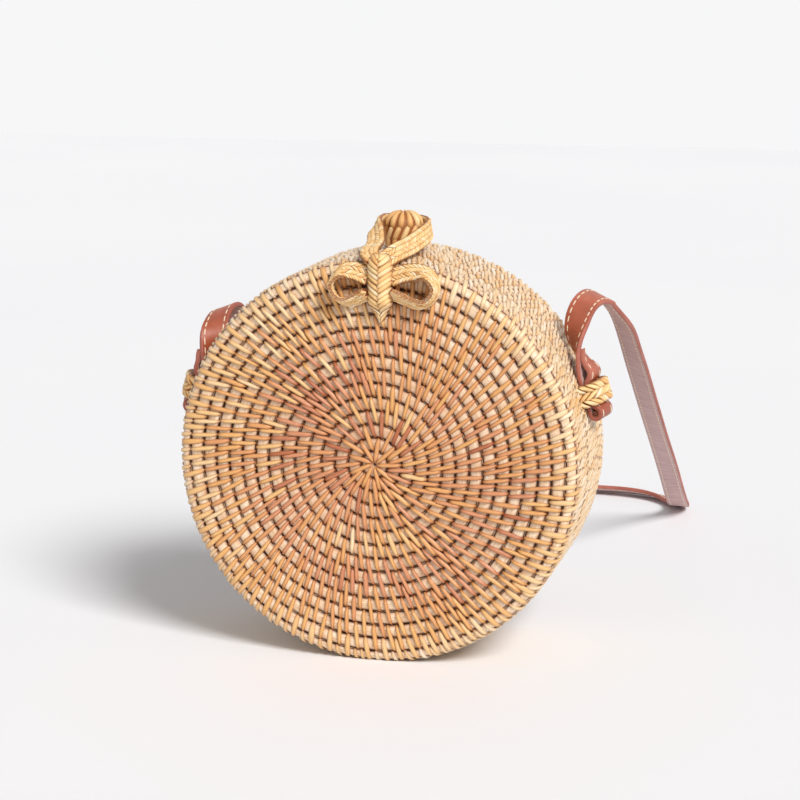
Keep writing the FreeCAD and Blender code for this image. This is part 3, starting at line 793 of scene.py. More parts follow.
def lining_cloth(word):
    """Cotton sewn into a half, a round bottom and a band, a little gathered round the wall."""
    face_y = HALF_FACE[word]
    edge = mouth_distance(word) + MOUTH_GAP - LINING_HEM
    run = np.linspace(0.0, edge, LINING_POINTS)
    there_and_back = np.r_[run, run[::-1]]
    lift = np.repeat((LINING_OUTSIDE, LINING_INSIDE), LINING_POINTS)
    section = skin(face_y, there_and_back, 0.0, lift)
    made = spun(word + "_lining_cloth", [section], LINING_STEPS, CENTRE, AXIS_Y, run=[there_and_back])
    points = points_of(made)
    along = values_of(made, "run")
    angle = np.arctan2(points[:, 2] - CENTRE_Z, points[:, 0])
    drawn = 1 - gathers(angle) * smooth((along - GATHER_START) / GATHER_EASE) / BAG_RADIUS
    points[:, 0] *= drawn
    points[:, 2] = CENTRE_Z + (points[:, 2] - CENTRE_Z) * drawn
    place_points(made, points)
    keep_values(made, fibre=np.stack([along * np.cos(angle), along * np.sin(angle), 0 * along], -1))
    finished(made, LINING, word + "_half", (word + "_lining",), "lining")
    inside = (BAG_RADIUS + LINING_INSIDE) * MM
    wall = (edge - FACE_RADIUS - RIM_LENGTH + SEAM) * MM
    bottom_area = math.pi * inside ** 2
    band_area = 2 * math.pi * inside * wall
    flat = tuple(2 * inside + wall * share for share in CUT_WALLS)
    bottom_area + band_area


# Bands: braided ribbons and the strap

LONG_CUTS = 60
ALIKE = 0.01
GROUND_TONE = 0.5


class Band:
    """A flat band along a line of points: at(run, across, lift) gives places on and over it."""

    def __init__(self, points, widths):
        self.points = np.asarray(points, float)
        self.run = np.r_[0, np.cumsum(np.linalg.norm(np.diff(self.points, axis=0), axis=1))]
        tangents = unit(np.gradient(self.points, self.run, axis=0))
        widths = np.broadcast_to(np.asarray(widths, float), self.points.shape)
        self.widths = unit(widths - tangents * np.sum(widths * tangents, 1, keepdims=True))
        self.normals = np.cross(tangents, self.widths)
        self.length = self.run[-1]

    def along(self, values, run):
        return np.stack([np.interp(run, self.run, values[:, i]) for i in range(3)], -1)

    def at(self, run, across, lift):
        width = unit(self.along(self.widths, run))
        normal = unit(self.along(self.normals, run))
        return self.along(self.points, run) + width * across[..., None] + normal * lift[..., None]


def bar(name, length, half_width, half_thickness, corner, cuts, columns=0):
    """Straight bar along X from the origin, with rounded edges unless it is cut into columns, and cut so that
    it can be laid along a line.
    """
    bpy.ops.object.select_all(action="DESELECT")
    bpy.ops.mesh.primitive_cube_add(size=2.0)
    made = bpy.context.object
    made.name = name
    made.scale = (length / 2 * MM, half_width * MM, half_thickness * MM)
    made.location = (length / 2 * MM, 0.0, 0.0)
    bpy.ops.object.transform_apply(location=True, rotation=False, scale=True)

    def lengthways(a, b):
        return abs(a[0] - b[0]) > ALIKE

    def crossways(a, b):
        return abs(a[1] - b[1]) > half_width

    def on_edges(wanted, operator, **settings):
        pick_edges(made, wanted)
        edit(made)
        operator(**settings)
        leave()

    if columns:
        on_edges(crossways, bpy.ops.mesh.subdivide, number_cuts=columns)
    else:
        on_edges(lengthways, bpy.ops.mesh.bevel, offset=corner * MM, segments=2, affect="EDGES")
    rounds = 1 if cuts < LONG_CUTS else 2
    for _ in range(rounds):
        on_edges(lengthways, bpy.ops.mesh.subdivide, number_cuts=math.ceil((cuts + 1) ** (1 / rounds)) - 1)
    return made


def laid_bar(name, band, half_width, half_thickness, corner, step):
    """Bar laid along a band's line, which keeps for its material where it was and which face it was on."""
    made = bar(name, band.length, half_width, half_thickness, corner, max(int(band.length / step), 1))
    run, across, lift = points_of(made).T
    place_points(made, band.at(run, across, lift))
    side = np.where(np.abs(across) > half_width - corner / 2, 0.0, -np.sign(lift))
    tone = np.full(len(run), GROUND_TONE)
    keep_values(made, side=side, fibre=np.stack([run, across, lift], -1), tone=tone)
    return made


def curve_through(points, start, end, steps):
    """Smooth line through points that leaves and arrives in given directions, each span in equal steps."""
    points = np.asarray(points, float)
    gaps = np.linalg.norm(np.diff(points, axis=0), axis=1)
    count = len(points)
    matrix = np.eye(count)
    right = np.zeros((count, 3))
    right[0], right[-1] = start, end
    for i in range(1, count - 1):
        a, b = 1 / gaps[i - 1], 1 / gaps[i]
        matrix[i, i - 1:i + 2] = a, 2 * (a + b), b
        right[i] = 3 * ((points[i] - points[i - 1]) * a * a + (points[i + 1] - points[i]) * b * b)
    slopes = np.linalg.solve(matrix, right)
    line, spans = [], []
    for i, gap in enumerate(gaps):
        for s in np.arange(steps) / steps:
            near, far = 2 * s ** 3 - 3 * s ** 2 + 1, 3 * s ** 2 - 2 * s ** 3
            leaving, arriving = s ** 3 - 2 * s ** 2 + s, s ** 3 - s ** 2
            line.append(near * points[i] + leaving * gap * slopes[i]
                        + far * points[i + 1] + arriving * gap * slopes[i + 1])
            spans.append(i + s)
    return np.array(line + [points[-1]]), np.array(spans + [count - 1.0])


def free_curve(points, steps):
    """Smooth line through points that leaves and arrives along its first and last span."""
    return curve_through(points, unit(points[1] - points[0]), unit(points[-1] - points[-2]), steps)


def between(values, places):
    """Values given at whole places, eased from one to the next."""
    values = np.asarray(values, float)
    low = np.minimum(places.astype(int), len(values) - 2)
    return values[low] + (values[low + 1] - values[low]) * smooth(places - low)


def rolled(outwards, roll):
    turn = np.radians(roll)[:, None]
    return outwards * np.cos(turn) - UP * np.sin(turn)


def to_the_right(line):
    tangents = np.gradient(line, axis=0)
    return unit(np.stack([tangents[:, 1], -tangents[:, 0], 0 * tangents[:, 0]], -1))


# Flat braids

BRAID_OVERLAP = 1.12
BRAID_JITTER = 0.08
BRAID_STAGGER = 0.25
BRAID_STRIP = 0.58
BRAID_TIP = 0.25
BRAID_END = 0.05
BRAID_WANDER = 0.09
BRAID_SINK = 0.3
BRAID_DIVE = 0.5
BRAID_EDGE = 0.9
BRAID_EDGE_FALL = 6.0
BRAID_TONE = 0.68
BRAID_TONE_JITTER = 0.15
RIBBON_STRIP = 0.75
RIBBON_GROUND = (0.92, 0.7, 0.4)
GROUND_STEP = 1.5


def braid_on(at, length, half_width, lift, step, face=1.0, thick=0.6, columns=4,
             narrow=None, slope=1.1, first=0.5):
    """Flat braid over one face of a band: columns of strips that lean to one side and the other in turn."""
    rows = int(length / step + 0.5 - first)
    strips = Strips(rows * columns)
    along, across = strips.along, strips.across
    number = np.arange(strips.count)
    column = number % columns
    lean = strips.column(np.where(column % 2 == 0, 1.0, -1.0))
    half = half_width / columns * BRAID_OVERLAP
    place = strips.column((2 * column + 1) / columns - 1) * half_width
    jitter = chance.normal(0, BRAID_JITTER * step, strips.count)
    middle = strips.column((number // columns + first) * step + jitter)
    run = middle + BRAID_STAGGER * step * lean + lean * along * half * slope
    run = run + across * step * BRAID_STRIP * (1 - BRAID_TIP * along ** 4)
    run = np.clip(run, BRAID_END, length - BRAID_END)
    sideways = (place + along * half) * (1.0 if narrow is None else narrow(run))
    wander = strips.column(chance.normal(0, BRAID_WANDER, strips.count))
    over = np.maximum(np.abs(sideways) / half_width - BRAID_EDGE, 0.0) * BRAID_EDGE_FALL
    rise = lift - BRAID_SINK + wander + strips.up * thick - BRAID_DIVE * np.abs(along) ** 3 - over
    tones = np.clip(chance.normal(BRAID_TONE, BRAID_TONE_JITTER, strips.count), 0.1, 1.0)
    return strips.laid(at(run, sideways, face * rise), tones)


def braided_band(name, band, half_width, half_thickness, stands_for, step=1.9, **places):
    """Flat braid: a thin bar between two faces of herringbone strips."""
    wide, thick, corner = RIBBON_GROUND
    ground = laid_bar(name + "_ground", band, half_width * wide, half_thickness * thick,
                      half_thickness * corner, GROUND_STEP)
    finished(ground, BRAID, slot="braid", **places)
    lots = [braid_on(band.at, band.length, half_width, half_thickness, step, face, RIBBON_STRIP)
            for face in (1.0, -1.0)]
    return ground, strip_piece(name, lots, BRAID, stands_for=stands_for, slot="braid", **places)


# Clasp loop: its route gives how far back, across and up the ribbon goes, as shares, and its roll

RIBBON_HALF_WIDTH = 4.5
RIBBON_HALF_THICKNESS = 1.1
CLASP_RADIUS = 12.9
CLASP_RISE = 12.5
CLASP_START = 0.6
CLASP_STEPS = 8
CLASP_ROUTE = np.array((
    (0.0, 0.46, 0.29, 50.0), (0.31, 0.69, 0.415, 55.0), (0.65, 0.92, 0.625, 64.0), (0.95, 1.0, 0.8, 76.0),
    (1.21, 0.71, 0.91, 86.0), (1.3, 0.0, 0.96, 90.0), (1.21, -0.71, 0.99, 90.0), (0.95, -0.98, 1.0, 66.0),
    (0.65, -0.8, 0.78, 32.0), (0.31, -0.58, 0.455, 12.0), (0.0, -0.48, 0.19, 4.0),
))
CLASP_ROOTS = np.array(((6.0, -43.2, 199.2, 46.0), (1.6, -43.2, 198.2, 10.0)))


def clasp_ribbon():
    """Ribbon out of the knot, back round the button and into the knot again."""
    start_y = BOW_BACK_Y + CLASP_START
    back, across, rise, roll = CLASP_ROUTE.T
    route = np.stack([CLASP_X + across * CLASP_RADIUS, start_y + back * (BUTTON_Y - start_y),
                      BAG_TOP + rise * CLASP_RISE], -1)
    route = np.concatenate([CLASP_ROOTS[:1, :3], route, CLASP_ROOTS[1:, :3]])
    roll = np.r_[CLASP_ROOTS[0, 3], roll, CLASP_ROOTS[1, 3]]
    line, places = free_curve(route, CLASP_STEPS)
    band = Band(line, rolled(to_the_right(line), between(roll, places)))
    for made in braided_band("clasp_braid", band, RIBBON_HALF_WIDTH, RIBBON_HALF_THICKNESS, ("clasp_loop",)):
        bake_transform(made)


# Bow: two loops of ribbon and a knot

BOW_LOOP_WIDTH = {1: 22.0, -1: 18.5}
BOW_LOOP_RADIUS = 10.3
BOW_LOOP_DROP = 13.0
BOW_KNOT_HALF = 6.0
BOW_REAR_Y = BOW_BACK_Y - 1.3
BOW_BEND = np.radians(np.linspace(80, -80, 9))
BOW_ROOT = -1.5
BOW_ROOT_RISE = (8.0, -6.0)
BOW_SHOULDER_RISE = (9.9, -8.6)
BOW_INSET = 0.2
BOW_HALF_THICKNESS = RIBBON_HALF_THICKNESS * 0.85
BOW_STEPS = 6
BOW_FLARE = np.array((
    (0.0, 64.0), (0.15, 52.0), (0.3, 26.0), (0.5, 8.0), (0.68, 14.0), (0.84, 30.0), (1.0, 40.0),
))


def bow_ribbon(side, word):
    """One loop of the bow: its ribbon is flared, so that its outer face shows from the front."""
    root = BOW_LOOP_WIDTH[side] - BOW_LOOP_RADIUS
    outline = [(BOW_ROOT, BOW_ROOT_RISE[0]), (root / 2, BOW_SHOULDER_RISE[0])]
    outline += [(root + BOW_LOOP_RADIUS * math.cos(t), BOW_LOOP_RADIUS * math.sin(t)) for t in BOW_BEND]
    outline += [(root / 2, BOW_SHOULDER_RISE[1]), (BOW_ROOT, BOW_ROOT_RISE[1])]
    out, rise = np.array(outline).T
    route = np.stack([CLASP_X + side * (BOW_KNOT_HALF + out), 0 * out, BOW_TOP_Z - BOW_LOOP_DROP + rise], -1)
    line, _ = free_curve(route, BOW_STEPS)
    tangents = unit(np.gradient(line, axis=0))
    outwards = np.stack([-tangents[:, 2], 0 * tangents[:, 0], tangents[:, 0]], -1) * side
    flare = np.radians(np.interp(np.linspace(0, 1, len(line)), *BOW_FLARE.T))[:, None]
    widths = outwards * np.sin(flare) + BACK * np.cos(flare)
    middle = line - widths * (RIBBON_HALF_WIDTH - BOW_INSET)
    middle[:, 1] += BOW_REAR_Y
    braided_band("bow_braid_" + word, Band(middle, widths), RIBBON_HALF_WIDTH, BOW_HALF_THICKNESS,
                 ("bow_loop_" + word,), body="front_half")


KNOT_RISE = 2.4
KNOT_LENGTH = 26.4
KNOT_TAIL = 6.5
KNOT_END = KNOT_LENGTH + KNOT_TAIL
KNOT_WIDTHS = np.array((
    (0, 0.6), (2, 0.85), (5, 1.0), (KNOT_LENGTH - 2, 0.95), (KNOT_LENGTH + 1, 0.6), (KNOT_END, 0.2),
))
KNOT_DEPTHS = np.array((
    (0, 4.0), (2, 6.6), (5, 8.2), (KNOT_LENGTH - 3, 7.8), (KNOT_LENGTH + 1.5, 3.2), (KNOT_END, 1.9),
))
KNOT_ROUNDING = 0.42
KNOT_CUTS = 24
KNOT_COLUMNS = 7
KNOT_GROUND_WIDTH = 0.93
KNOT_GROUND_DEPTH = 0.4
KNOT_GROUND_TONE = 0.2


def knot_narrow(run):
    """Width of the knot and its tail from the top down, as a share."""
    return np.interp(run, *KNOT_WIDTHS.T)


def knot_depth(run, share):
    """How far the knot stands out, which is bowed across and thins away into its tail."""
    return np.interp(run, *KNOT_DEPTHS.T) * (1 - KNOT_ROUNDING * share ** 2)


def knot_at(run, across, lift):
    share = np.clip(across / (BOW_KNOT_HALF * knot_narrow(run)), -1, 1)
    y = BOW_BACK_Y - knot_depth(run, share) - lift
    return np.stack([CLASP_X + across, y, BOW_TOP_Z + KNOT_RISE - run], -1)


def bow_knot():
    """Knot wrapped in braid over a bar that is flat behind."""
    ground = bar("bow_knot_ground", KNOT_END, 1.0, 1.0, 0.0, KNOT_CUTS, KNOT_COLUMNS)
    run, share, face = points_of(ground).T
    front = knot_depth(run, share) - KNOT_GROUND_DEPTH
    x = CLASP_X + share * BOW_KNOT_HALF * KNOT_GROUND_WIDTH * knot_narrow(run)
    y = BOW_BACK_Y - np.where(face > 0, front, 0.0)
    place_points(ground, np.stack([x, y, BOW_TOP_Z + KNOT_RISE - run], -1))
    tone = np.full(len(run), KNOT_GROUND_TONE)
    keep_values(ground, tone=tone, fibre=np.stack([0 * run, share, run], -1))
    finished(ground, BRAID, "front_half", (), "braid")
    lot = braid_on(knot_at, KNOT_END, BOW_KNOT_HALF, lift=0.35, step=2.5, thick=1.3, columns=2,
                   narrow=knot_narrow, slope=0.62, first=-0.4)
    strip_piece("bow_knot_braid", [lot], BRAID, body="front_half",
                stands_for=("bow_knot", "bow_tail"), slot="braid")


# Button: each tier has its middle up the side, half length, strips, shift, lean and depth

BUTTON_FOOT = 0.1
BUTTON_PROFILE = np.array((
    (0.0, 0.1), (7.4, 0.1), (8.9, 3.0), (9.6, 6.5), (9.7, 9.5), (9.4, 13.0), (8.5, 15.8), (6.4, 17.9),
    (3.4, 19.0), (0.0, 19.4),
))
BUTTON_TILT = (-0.5, -0.3, -0.1, 0.0, 0.2, 0.6, 1.1, 1.4, 1.57)
BUTTON_TIERS = (
    (3.6, 3.8, 13, 0.0, 0.1, 0.45), (9.2, 4.6, 13, 0.4, 0.22, 0.45), (18.0, 6.6, 12, 0.2, 0.04, 0.0),
)
BUTTON_STEPS = 32
BUTTON_GROUND = (0.7, 0.1)
# Dark tone of the button's ground: painted shade for the gaps between its strips
BUTTON_GAP_SHADE_TONE = -0.4
BUTTON_RUN = (0.1, 26.0)
BUTTON_STRIP = 0.74
BUTTON_TIP = 0.3
BUTTON_BULGE = 0.3
BUTTON_DIVE = 1.1
BUTTON_THICK = 1.2
BUTTON_SINK = 0.7
BUTTON_TONE = 0.5
BUTTON_TONE_JITTER = 0.18


def button_at(run, angle, lift):
    """Place over the button, so far up its side from its foot."""
    profile = BUTTON_PROFILE[1:]
    steps = np.r_[0, np.cumsum(np.linalg.norm(np.diff(profile, axis=0), axis=1))]
    radius = np.interp(run, steps, profile[:, 0])
    height = np.interp(run, steps, profile[:, 1])
    tilt = np.interp(run, steps, BUTTON_TILT)
    radius = np.maximum(radius + lift * np.cos(tilt), 0.0)
    return np.stack([CLASP_X + radius * np.cos(angle), BUTTON_Y + radius * np.sin(angle),
                     BAG_TOP + BUTTON_FOOT + height + lift * np.sin(tilt)], -1)


def button():
    """Woven knob: tiers of upright strips, each between two of the tier below, drawn in to the top."""
    radius, height = (BUTTON_PROFILE - (0.0, BUTTON_GROUND[1])).T
    x = CLASP_X + np.maximum(radius - BUTTON_GROUND[0], 0.0)
    section = np.stack([x, 0 * radius + BUTTON_Y, BAG_TOP + height], -1)
    ground = spun("button_ground", [section], BUTTON_STEPS, (CLASP_X, BUTTON_Y, 0.0), AXIS_Z)
    count = len(ground.data.vertices)
    # The ground is painted dark, as painted shade in the gaps between the strips
    keep_values(ground, tone=np.full(count, BUTTON_GAP_SHADE_TONE), fibre=np.zeros((count, 3)))
    finished(ground, BRAID, "rear_half", (), "braid")
    lots = []
    for middle, half, number, shift, lean, sunk in BUTTON_TIERS:
        strips = Strips(number)
        along = strips.along
        size = np.abs(along)
        turn = strips.column((np.arange(number) + shift) * 2 * math.pi / number)
        run = np.clip(middle + along * half, *BUTTON_RUN)
        spread = strips.across * math.pi / number * BUTTON_STRIP * (1 - BUTTON_TIP * size ** 3)
        lift = BUTTON_BULGE * (1 - along ** 4) - BUTTON_DIVE * size ** 8
        lift = lift + strips.up * BUTTON_THICK * (1 - BUTTON_TIP * along ** 4) - (BUTTON_SINK + sunk)
        tones = np.clip(chance.normal(BUTTON_TONE, BUTTON_TONE_JITTER, number), 0.05, 1)
        lots.append(strips.laid(button_at(run, turn + spread + lean * along, lift), tones))
    strip_piece("button_weave", lots, BRAID, body="rear_half", stands_for=("clasp_button",), slot="braid")


# Free run of the strap: its routes give shares of the way and its roll

LEG_RISE = 13.5
HELD_RISE = 0.8
LEG_TOP = LOOP_HEIGHT / 2 + LEG_RISE
HELD = LOOP_HEIGHT / 2 + HELD_RISE
ARCH_RISE = {1: 27.0, -1: 20.0}
ARCH_REACH = {1: 23.0, -1: 18.0}
ARCH_SPREAD = {1: 7.5, -1: -5.0}
ARCH_DIP = {1: 4.5, -1: 3.0}
ARCH_ROLL = 28.0
ARCH_POINTS = 61
TWIST_LENGTH = {1: 43.0, -1: 34.0}
LIMB_SLOPE = 0.629
LIMB_ROUTE = np.array((
    (0.0, 0.0, 28.0), (0.06, 0.6, 30.0), (0.15, 0.84, 30.0), (0.32, 0.87, 22.0), (0.6, 0.92, 18.0),
    (0.85, 0.98, 8.0), (1.0, 1.0, 0.0),
))
LANDING_X = {1: 107.0, -1: -88.0}
LANDING_Z = 8.5
FLOOR_REACH = 57.0
FLOOR_GAP = 0.1
FLOOR_ROUTE = np.array((
    (0.95, 0.44, 12.0), (0.78, 0.755, 20.0), (0.48, 0.945, 22.0), (0.08, 1.0, 22.0), (-0.34, 0.91, 22.0),
    (-0.70, 0.665, 20.0), (-0.93, 0.315, 12.0),
))
STRAP_STEPS = 8
STRAP_STEP = 1.6
STRAP_CORNER = 0.55
THREAD_EDGE = 2.0
THREAD_PITCH = 4.2
THREAD_HALF = 1.55
THREAD_THICK = 0.42
THREAD_SINK = 0.14
THREAD_NARROWER = 0.3
THREAD_THINNER = 0.75
THREAD_END = 1.0


def side_point(side, u, v, y):
    """Point u out from the wall and v up along it, at one side of the bag."""
    turn = math.radians(LOOP_ANGLE[side])
    out = BAG_RADIUS + np.asarray(u, float)
    v = np.asarray(v, float)
    x = side * (out * math.cos(turn) - v * math.sin(turn))
    z = CENTRE_Z + out * math.sin(turn) + v * math.cos(turn)
    return np.stack(np.broadcast_arrays(x, np.asarray(y, float), z), -1)


def end_seat(side):
    return END_GAP[side] + STRAP_WIDTH / 2 * math.sin(math.radians(END_TURN))


def leg_point(side, v):
    """Point on the middle line of a strap end's leg along the wall, v up it."""
    turn = math.radians(END_TURN)
    u = end_seat(side) + STRAP_HALF * math.cos(turn)
    return side_point(side, u, v, STRAP_Y - STRAP_HALF * math.sin(turn))


def strap_turn(side, rise):
    """How far the strap, so high above its loop, has turned its width from frontwards to outwards."""
    share = smooth(rise / TWIST_LENGTH[side])
    return np.radians((90 + END_TURN) * share - END_TURN)[:, None]


def arch_line(side):
    """Points and width directions of the arch, from the folded end to its back foot."""
    share = np.linspace(0, 1, ARCH_POINTS)
    end_angle = math.degrees(math.atan2(ARCH_RISE[side], LIMB_SLOPE * ARCH_REACH[side]))
    angle = np.radians(180 - share * (180 - end_angle))
    sway = ARCH_SPREAD[side] * share ** 2 - ARCH_DIP[side] * 4 * share * (1 - share) ** 2
    back = ARCH_REACH[side] * (1 + np.cos(angle))
    line = leg_point(side, LEG_TOP) + np.stack([side * sway, back, ARCH_RISE[side] * np.sin(angle)], -1)
    turn = strap_turn(side, LEG_TOP - HELD + Band(line, BACK).run)
    outwards = rolled(np.array([[side, 0.0, 0.0]]), ARCH_ROLL * share)
    return line, outwards * np.sin(turn) - BACK * np.cos(turn)


def limb(side, foot):
    """Points and rolls of the straight way from an arch's back foot down to the floor."""
    share, drift, roll = LIMB_ROUTE.T
    landing = np.array([LANDING_X[side], foot[1] + (foot[2] - LANDING_Z) / LIMB_SLOPE, LANDING_Z])
    run = landing - foot
    return foot + np.stack([run[0] * drift, run[1] * share, run[2] * share], -1), roll


def floor_curve(right, left):
    """Points and rolls of the curve on the floor between the ends of the two limbs."""
    sideways, back, roll = FLOOR_ROUTE.T
    turn = np.radians(roll)
    points = (right + left) / 2 + (right - left) / 2 * sideways[:, None]
    points[:, 1] += back * FLOOR_REACH
    points[:, 2] = STRAP_WIDTH / 2 * np.sin(turn) + STRAP_HALF * np.cos(turn) + FLOOR_GAP
    return points, roll


def strap_band():
    """The whole free strap: over one arch, down behind the bag, along the floor and up to the other arch."""
    right_arch, right_widths = arch_line(1)
    left_arch, left_widths = arch_line(-1)
    right, right_roll = limb(1, right_arch[-1])
    left, left_roll = limb(-1, left_arch[-1])
    lying, lying_roll = floor_curve(right[-1], left[-1])
    route = np.concatenate([right, lying, left[::-1]])
    rolls = np.r_[right_roll, lying_roll, left_roll[::-1]]
    line, places = free_curve(route, STRAP_STEPS)
    widths = rolled(to_the_right(line), between(rolls, places))
    points = np.concatenate([right_arch[:-1], line, left_arch[::-1][1:]])
    return Band(points, np.concatenate([right_widths[:-1], widths, left_widths[::-1][1:]]))


def threads_on(band, last):
    """Two rows of stitching on both faces of a strap."""
    runs = np.arange(THREAD_PITCH / 2, last, THREAD_PITCH)
    lots = []
    for face in (1.0, -1.0):
        for row in (1.0, -1.0):
            strips = Strips(len(runs))
            along = strips.along
            run = np.clip(strips.column(runs) + along * THREAD_HALF, 0, band.length)
            spread = strips.across * THREAD_THICK * (1 - THREAD_NARROWER * along ** 2)
            sideways = row * (STRAP_WIDTH / 2 - THREAD_EDGE) + spread
            lift = STRAP_HALF - THREAD_SINK + strips.up * THREAD_THICK * (1 - THREAD_THINNER * along ** 4)
            lots.append(strips.laid(band.at(run, sideways, face * lift), 0.0))
    return lots


def strap_length(name, band, step):
    """A length of the strap: its leather and its stitching."""
    leather = laid_bar(name, band, STRAP_WIDTH / 2, STRAP_HALF, STRAP_CORNER, step)
    finished(leather, LEATHER, slot="leather")
    lots = threads_on(band, band.length - THREAD_END)
    return leather, strip_piece(name + "_threads", lots, THREAD, slot="leather")


def free_strap():
    made = strap_length("strap_leather", strap_band(), STRAP_STEP)
    for part in made:
        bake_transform(part)
    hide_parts("strap_main", "strap_bend_left", "strap_bend_right")


# Folded strap ends: the tail's shape gives shares of its bulge and heights above the loop

FOLD_RADIUS = 1.5
FOLD_DROP = 4.8
FOLD_RISE = 1.2
FOLD_S = STRAP_THICKNESS + FOLD_RADIUS
FOLD_V = -LOOP_HEIGHT / 2 - FOLD_DROP
TAIL_GAP = 0.2
TAIL_S = STRAP_HALF + STRAP_THICKNESS + TAIL_GAP
END_DEPTH = TAIL_S + STRAP_HALF
TAIL_BULGE = {1: 3.2, -1: 1.4}
TAIL_SHAPE = ((0.8, 3.0), (0.95, 4.6), (0.5, 8.16))
TAIL_RISE = 12.0
TAIL_SEWN = {1: 4.2, -1: 0.5}
TAIL_SLACK = 0.1
LEG_POINTS = 5
LEG_END = 1.5
FOLD_BEND = np.radians(np.linspace(180, 360, 11))
FOLD_STEPS = 4
FOLD_STEP = 1.0


def strap_fold(side, word):
    """Folded strap end: down by the wall, round the peg and up through the loop, with a bulging tail."""
    reach = FOLD_RADIUS + STRAP_HALF
    route = [(STRAP_HALF, v) for v in np.linspace(LEG_TOP, FOLD_V + LEG_END, LEG_POINTS)]
    route += [(FOLD_S + reach * math.cos(b), FOLD_V + reach * math.sin(b)) for b in FOLD_BEND]
    route += [(FOLD_S + reach, FOLD_V + FOLD_RISE), (TAIL_S + TAIL_SLACK, -HELD), (TAIL_S, 0), (TAIL_S, HELD)]
    route += [(TAIL_S + TAIL_BULGE[side] * share, HELD + rise) for share, rise in TAIL_SHAPE]
    top = HELD + TAIL_RISE
    route += [(TAIL_S + TAIL_SLACK, top), (TAIL_S - TAIL_SLACK, top + TAIL_SEWN[side])]
    flat = np.array([(s, v, 0.0) for s, v in route])
    line, _ = curve_through(flat, (0, -1.0, 0), unit(flat[-1] - flat[-2]), FOLD_STEPS)
    turn = strap_turn(side, line[:, 1] - HELD)
    outwards = side_point(side, 1, 0, 0) - side_point(side, 0, 0, 0)
    away = outwards * np.cos(turn) + BACK * np.sin(turn)
    points = leg_point(side, line[:, 1]) + away * (line[:, :1] - STRAP_HALF)
    widths = outwards * np.sin(turn) - BACK * np.cos(turn)
    made = strap_length("strap_fold_" + word, Band(points, widths * -side), FOLD_STEP)
    for part in made:
        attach(part, "rear_half")
    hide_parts("strap_end_" + word)


# Woven loops that hold the strap ends

LOOP_BRIDGE_HALF = 1.1
LOOP_LEG_HALF = 0.95
LOOP_CLEARANCE = 0.25
LOOP_ROOT = -4.0
LOOP_REAR_FOOT = 2.5
LOOP_STEPS = 6
LOOP_GROUND = (0.95, 0.8, 0.4)
LOOP_OUTER = (0.7, 0.3)


def keeper(side, word):
    """Woven loop that holds a strap end to the wall: up in front of it, over it and down behind it."""
    turn = math.radians(END_TURN)
    half_strap = STRAP_WIDTH / 2 * math.cos(turn)
    bridge = END_DEPTH + LOOP_CLEARANCE + LOOP_BRIDGE_HALF
    front = STRAP_Y - END_DEPTH * math.sin(turn) - half_strap - LOOP_CLEARANCE - LOOP_LEG_HALF
    rear = STRAP_Y + half_strap + LOOP_CLEARANCE + LOOP_LEG_HALF

    def over(y, lift):
        """Place on the loop's way over the strap end, so far off the straight line."""
        return end_seat(side) + bridge / math.cos(turn) + (y - STRAP_Y) * math.tan(turn) + lift, y

    route = [(LOOP_ROOT, front), (0.0, front), over(front, -2.2), over(front + 1.6, -0.1),
             over(STRAP_Y - 1, 0.5), over(rear - 2.2, 0.2), over(rear, -2.4),
             (LOOP_REAR_FOOT, rear), (LOOP_ROOT, rear)]
    flat = np.array([(u, y, 0.0) for u, y in route])
    line, _ = curve_through(flat, (1.0, 0, 0), (-1.0, 0, 0), LOOP_STEPS)
    points = side_point(side, line[:, 0], 0 * line[:, 0], line[:, 1])
    up = side_point(side, 0, 1, 0) - side_point(side, 0, 0, 0)
    band = Band(points, up * -side)
    high, thick, corner = (size * share for size, share in zip(
        (LOOP_HEIGHT / 2, LOOP_BRIDGE_HALF, LOOP_BRIDGE_HALF), LOOP_GROUND))
    ground = laid_bar("keeper_ground_" + word, band, high, thick, corner, GROUND_STEP)
    finished(ground, BRAID, "rear_half", (), "braid")
    wider, thicker = LOOP_OUTER
    lots = [
        braid_on(band.at, band.length, LOOP_HEIGHT / 2, LOOP_BRIDGE_HALF, step=2.6, columns=2),
        braid_on(band.at, band.length, LOOP_HEIGHT / 2 + wider, LOOP_BRIDGE_HALF + thicker,
                 step=3.0, face=-1.0, thick=1.9, columns=3),
    ]
    strip_piece("keeper_" + word, lots, BRAID, body="rear_half",
                stands_for=("strap_loop_" + word,), slot="braid")


# Lashings under the bag

TIE_ANGLE = 14.0
TIE_TURNS = 4
TIE_TURN_POINTS = 40
TIE_PITCH = 1.2
TIE_HALF = 0.42
TIE_CORNER = 0.6
TIE_STEP = 0.6
TIE_REACH = 4.7
TIE_DEPTH = 2.55
TIE_SQUARENESS = 6
HOOP_RADIUS = 2.0


def lashing(side, word):
    """Cord wound in close turns round both mouth hoops."""
    turn = np.linspace(0, 2 * math.pi * TIE_TURNS, TIE_TURN_POINTS * TIE_TURNS + 1) + math.pi / 2
    along = (turn - turn.mean()) / (2 * math.pi) * TIE_PITCH
    flat_top = np.tanh(TIE_SQUARENESS * np.cos(turn))
    across = TIE_DEPTH * np.cos(turn) + (TIE_REACH - TIE_DEPTH) * flat_top
    height = TIE_DEPTH * np.sin(turn) - (BAG_RADIUS - HOOP_RADIUS)
    swing = math.radians(TIE_ANGLE) * side
    x = along * math.cos(swing) - height * math.sin(swing)
    z = along * math.sin(swing) + height * math.cos(swing) + CENTRE_Z
    points = np.stack([x, PARTING_Y + across, z], -1)
    band = Band(points, (math.cos(swing), 0.0, math.sin(swing)))
    made = laid_bar("hinge_lashing_" + word, band, TIE_HALF, TIE_HALF, TIE_HALF * TIE_CORNER, TIE_STEP)
    finished(made, CORD, None, ("hinge_tie_" + word,), "cord")
    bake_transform(made)


# Put together

